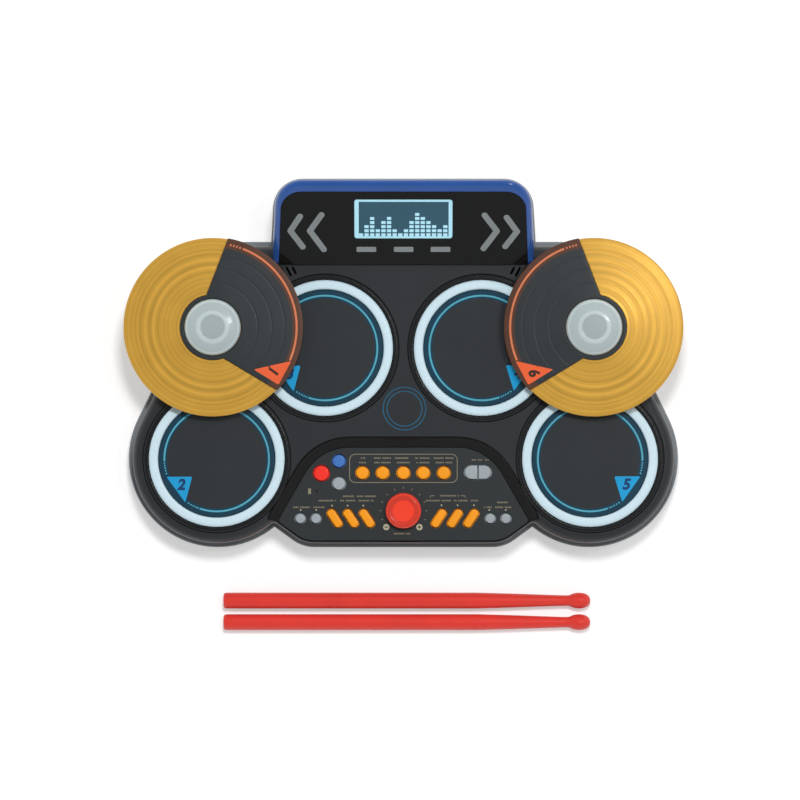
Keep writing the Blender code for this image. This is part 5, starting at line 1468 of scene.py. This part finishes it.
class DRUMPAD_OT_strike_pads(bpy.types.Operator):
    """Makes the rubber strike pads with their grooves, and their printed line and triangle"""

    bl_idname = "drum_pad.strike_pads"
    bl_label = "Strike pads"

    def execute(self, context):
        settings = context.scene.drum_pad_cymbals
        # Moulded rubber: satin black, worn a little smoother where the sticks land
        wear = {"grain": 1.6, "relief": 0.02, "mottle": 0.08}
        rubber = moulded("moulded_strike_rubber", settings.pad, 0.42, **wear)
        by_radius(rubber, [(0.0, settings.pad), (62.2, settings.border)])
        # The orange and the red ink give off a faint painted glow
        orange = ink("screen_printed_orange", settings.line, 0.05)
        red = ink("screen_printed_red", settings.marker, 0.05)
        brown = ink("screen_printed_brown", settings.number)
        near = [at + np.linspace(-1.0, 1.0, 9) for at in GROOVE_RADII]
        radius = np.unique(np.concatenate((np.arange(25.0, 69.8, 1.0), *near)))
        grooves = sum(np.exp(-(((radius - at) / GROOVE_WIDTH) ** 2)) for at in GROOVE_RADII)
        top = disc_top(radius) + STRIKE_PROUD - GROOVE_DEPTH * grooves
        top = np.column_stack((radius, top))
        edge = [(STRIKE_RADIUS - 0.12, -0.12), (STRIKE_RADIUS, -0.5), (STRIKE_RADIUS, -1.45)]
        edge += [(50.0, -1.45), (25.0, -1.45)]
        edge = [(at, strike_top(at) + drop) for at, drop in edge]
        section = np.concatenate((top, edge))
        ease = ((0.0, 0.4), (0.15, 0.12), (0.5, 0.0))
        collar = [(22.1, 63.85), (22.1, 65.0), (22.6, 65.35), (25.0, 65.3), (25.4, 64.9)]
        collar += [(25.4, 63.75)]
        marker = laid(printed(rounded_corners(STRIKE_MARKER, 1.6), 0.0))
        arcs = [(-23.2, 69.0, 90)] + [(first, first + 1.1, 4) for first in (70.4, 72.6, 74.8, 77.0)]
        heights = [strike_top(at) for at in STRIKE_LINE]
        origin = (0.0, 0.0)
        line = joined(
            *(band(origin, *STRIKE_LINE, *ends, heights, steps) for *ends, steps in arcs)
        )
        for side, sign in SIDES.items():
            body, centre, node = f"cymbal_pad_{side}", cymbal(side)[1], f"cymbal_strike_pad_{side}"
            sector = wedge(centre, sign, section, 0.0, ease)
            shape = joined(sector, turned_ring(collar, centre, 0.3))
            piece(f"rubber_{side}", shape, rubber, body, (node,), middle_at=centre)
            x, y = STRIKE_NUMBER_AT
            number = (STRIKE_NUMBERS[side], 11.0, (-sign * x, y), -sign * 65.0, 0.0, 2 * INK)
            prints = (
                ("marker", mirrored(marker, -sign), red),
                ("print", mirrored(line, -sign), orange),
                ("number", laid(numeral(*number), INK / 2), brown),
            )
            for name, shape, colour in prints:
                shape = shifted(shape, (*centre, 0.0))
                piece(f"strike_{name}_{side}", shape, colour, body)
        return {"FINISHED"}


# The tone of the lens by its radius: painted highlights make it lighter on its step and at its rim
LENS_PAINTED_LIGHT = ((0.0, 0.95), (9.4, 1.35), (12.8, 1.1), (19.6, 1.5))


class DRUMPAD_OT_lenses(bpy.types.Operator):
    """Makes the frosted lens over each cymbal's hub"""

    bl_idname = "drum_pad.lenses"
    bl_label = "Hub lenses"

    def execute(self, context):
        settings = context.scene.drum_pad_cymbals
        # Frosted polycarbonate: milky, with a soft sheen from its coat, and painted highlights on
        # its step and its rim
        frost = {"relief": 0.008, "mottle": 0.03, "Coat_Weight": 0.3}
        frosted = moulded("frosted_polycarbonate", settings.lens, 0.32, **frost)
        by_radius(frosted, [(at, settings.lens * share) for at, share in LENS_PAINTED_LIGHT])
        dome = [(0.0, 64.6), (21.8, 64.6), (21.8, 66.3), (20.9, 68.5), (19.6, 69.9), (17.5, 70.9)]
        dome += [(15.2, 71.5), (12.8, 72.0), (10.9, 72.3), (10.0, 72.25), (9.5, 71.6), (8.6, 71.55)]
        profile = softened(dome + [(0.0, 71.9)], 0.9, 5)
        for side in SIDES:
            body, centre, _ = cymbal(side)
            lens, node = turned(profile, centre), f"hub_lens_{side}"
            name = f"frosted_{node}"
            piece(name, lens, frosted, body, (node,), middle_at=centre)
        return {"FINISHED"}


# Drumsticks --------------------------------------------------------------------------------------
STICK_RADIUS = 6.3
STICK_PROFILE = [(0.0, 0.0), (0.0, 4.6), (0.5, 5.7), (1.6, 6.25), (3.0, 6.3), (199.0, 6.3)]
STICK_PROFILE += [(225.0, 5.6), (250.0, 4.75), (266.0, 4.2), (271.0, 4.15), (272.6, 4.6)]
STICK_PROFILE += [(274.5, 5.5), (277.0, 6.1), (280.0, 6.3), (283.0, 6.0), (285.8, 5.0)]
STICK_PROFILE += [(287.6, 3.4), (288.4, 1.6), (288.5, 0.0)]


class DRUMPAD_OT_sticks(bpy.types.Operator):
    """Makes the two drumsticks, a tapering profile turned about a lying axis: y = r cos a,
    z = r sin a at each place along x"""

    bl_idname = "drum_pad.sticks"
    bl_label = "Drumsticks"

    def execute(self, context):
        settings = context.scene.drum_pad_sticks
        # Moulded polypropylene: waxy satin, with a faint flow along its length
        wax = {"grain": 2.2, "relief": 0.01}
        satin = moulded("moulded_polypropylene_stick", settings.shaft, 0.38, **wax)
        run, radius = softened(STICK_PROFILE, 0.8).T
        around = direction(np.linspace(0.0, 360.0, 65)[:-1])
        for name in ("rear", "front"):
            node = f"drumstick_{name}"
            x, y, _ = middle(node)
            rings = np.empty((len(run), len(around), 3))
            rings[..., 0] = x - run.max() / 2 + run[:, None]
            rings[..., 1:] = radius[:, None, None] * around + (y, STICK_RADIUS)
            piece(f"stick_{name}", skin(rings), satin, f"stick_{name}", (node,))
        return {"FINISHED"}


# Inside ------------------------------------------------------------------------------------------
class DRUMPAD_OT_inside(bpy.types.Operator):
    """Gives the boards, the key sheet, the encoder, the microphone and the speakers finishes"""

    bl_idname = "drum_pad.inside"
    bl_label = "Inside parts"

    def execute(self, context):
        # Epoxy board under green solder mask, with the weave of the glass showing through
        weave = {"grain": 1.0, "relief": 0.01, "mottle": 0.1}
        board = moulded("solder_mask_on_epoxy", linear("2f6b3a"), 0.35, **weave)
        # Silicone keypad sheet: dull and slightly translucent
        sheet = moulded("silicone_keypad_sheet", linear("b9bdbc"), 0.6, grain=1.0, relief=0.01)
        # Coated paper cone in a pressed basket
        fibre = {"grain": 0.9, "relief": 0.03, "mottle": 0.1}
        paper = moulded("coated_paper_cone", linear("33322f"), 0.7, **fibre)
        finishes = {
            board: ("main_board", "display_board"),
            sheet: ("key_membrane",),
            plated_steel(): ("volume_encoder",),
            paper: ("microphone", "speaker_left", "speaker_right"),
        }
        for finish, nodes in finishes.items():
            for node in nodes:
                refinish(node, finish)
        return {"FINISHED"}


# Stage -------------------------------------------------------------------------------------------
LAMP_DISTANCE = 2.5  # metres, as are the next two
LAMP_SIZE = 0.35
FAR_CLIP = 100.0
LAMP_TOWARDS = (0.03, 0.32, 1.0)
GLINT_TOWARDS = (0.32, 0.2, 1.0)
PAPER_RADIUS = 9000.0
PAPER_LIFT = 0.38  # share of its own light in the paper, as the camera sees it
OVERHEAD = 0.12  # of the sky, against 1.0 at the horizon


def hung(name, watts, towards):
    """Hangs a square lamp in a direction from the origin, facing the origin."""
    lamp = bpy.data.lights.new(name, "AREA")
    lamp.energy, lamp.size = watts, LAMP_SIZE
    light = bpy.data.objects.new(name, lamp)
    bpy.context.scene.collection.objects.link(light)
    towards = Vector(towards).normalized()
    light.location = towards * LAMP_DISTANCE
    light.rotation_euler = towards.to_track_quat("Z", "Y").to_euler()
    return light


class DRUMPAD_OT_stage(bpy.types.Operator):
    """Makes the white floor, the soft light and the camera straight above"""

    bl_idname = "drum_pad.stage"
    bl_label = "Stage"

    def execute(self, context):
        settings = context.scene.drum_pad_stage
        scene = context.scene
        slab = turned([(0.0, -5.0), (PAPER_RADIUS, -5.0), (PAPER_RADIUS, -0.1), (0.0, -0.1)])
        floor = bpy.data.objects.new("floor", mesh_of("floor", slab, MM))
        scene.collection.objects.link(floor)
        # White paper, raised for what the camera and the reflections see, so that it stays white
        paper = moulded("matt_white_paper", settings.floor, 0.9, grain=2.0, relief=0.0, mottle=0.0)
        tree = paper.node_tree
        path = add(tree, "ShaderNodeLightPath").outputs
        seen = maths(tree, "MAXIMUM", path["Is Camera Ray"], path["Is Glossy Ray"])
        seen = maths(tree, "MAXIMUM", seen, path["Is Transmission Ray"])
        lift = maths(tree, "MULTIPLY", seen, PAPER_LIFT)
        shader = tree.nodes["Principled BSDF"]
        shader.inputs["Emission Color"].default_value = (1.0, 1.0, 1.0, 1.0)
        tree.links.new(lift, shader.inputs["Emission Strength"])
        floor.data.materials.append(paper)

        # The sky is white at the horizon and dark overhead, so that black plastic stays black
        world = bpy.data.worlds.new("studio")
        world.use_nodes = True
        tree = world.node_tree
        ray = add(tree, "ShaderNodeTexCoord").outputs["Generated"]
        height = add(tree, "ShaderNodeSeparateXYZ", {"Vector": ray}).outputs["Z"]
        ramp = add(tree, "ShaderNodeValToRGB", {"Fac": height})
        ramp.color_ramp.elements[0].color = (1.0, 1.0, 1.0, 1.0)
        ramp.color_ramp.elements[1].color = (OVERHEAD, OVERHEAD, OVERHEAD, 1.0)
        sky = tree.nodes["Background"]
        tree.links.new(ramp.outputs["Color"], sky.inputs["Color"])
        sky.inputs["Strength"].default_value = settings.sky
        scene.world = world

        # A weaker lamp to the right gives the glints, since the first is kept out of reflections
        hung("lamp", settings.lamp, LAMP_TOWARDS).visible_glossy = False
        hung("glint", settings.glint, GLINT_TOWARDS)

        lens = bpy.data.cameras.new("camera")
        camera = bpy.data.objects.new("camera", lens)
        scene.collection.objects.link(camera)
        lens.lens = lens.sensor_width * settings.distance / settings.frame_width
        lens.clip_end = FAR_CLIP
        x, y = from_view(VIEW_MIDDLE)
        target = Vector((x, y + DRAWING_Y, DECK_Z)) * MM
        back = Vector((0.0, -math.sin(settings.tilt), math.cos(settings.tilt)))
        camera.location = target + back * settings.distance
        camera.rotation_euler = (settings.tilt, 0.0, 0.0)
        scene.camera = camera
        scene.view_settings.view_transform = "Standard"
        return {"FINISHED"}


# Add-on ------------------------------------------------------------------------------------------
OPERATORS = (
    DRUMPAD_OT_top_case,
    DRUMPAD_OT_seats,
    DRUMPAD_OT_base,
    DRUMPAD_OT_battery_cover,
    DRUMPAD_OT_feet,
    DRUMPAD_OT_light_rings,
    DRUMPAD_OT_drum_pads,
    DRUMPAD_OT_panel,
    DRUMPAD_OT_panel_printing,
    DRUMPAD_OT_keys,
    DRUMPAD_OT_knob,
    DRUMPAD_OT_housing,
    DRUMPAD_OT_fascia,
    DRUMPAD_OT_screen,
    DRUMPAD_OT_arms,
    DRUMPAD_OT_discs,
    DRUMPAD_OT_strike_pads,
    DRUMPAD_OT_lenses,
    DRUMPAD_OT_sticks,
    DRUMPAD_OT_inside,
    DRUMPAD_OT_stage,
)


class DRUMPAD_PT_pieces(bpy.types.Panel):
    """Lists the settings and the operators of the drum pad"""

    bl_idname = "DRUMPAD_PT_pieces"
    bl_label = "Electronic drum pad"
    bl_space_type = "VIEW_3D"
    bl_region_type = "UI"
    bl_category = "Drum Pad"

    def draw(self, context):
        for name in GROUPS:
            settings = getattr(context.scene, name)
            box = self.layout.box()
            box.label(text=type(settings).__name__)
            for key in type(settings).__annotations__:
                box.prop(settings, key)
        for operator in OPERATORS:
            self.layout.operator(operator.bl_idname)


CLASSES = (*GROUPS.values(), *OPERATORS, DRUMPAD_PT_pieces)


def register():
    for cls in CLASSES:
        bpy.utils.register_class(cls)
    for name, settings in GROUPS.items():
        setattr(bpy.types.Scene, name, PointerProperty(type=settings))


def unregister():
    for name in GROUPS:
        delattr(bpy.types.Scene, name)
    for cls in reversed(CLASSES):
        bpy.utils.unregister_class(cls)


def main():
    register()
    for operator in OPERATORS:
        group, name = operator.bl_idname.split(".")
        getattr(getattr(bpy.ops, group), name)()


if __name__ == "__main__":
    main()
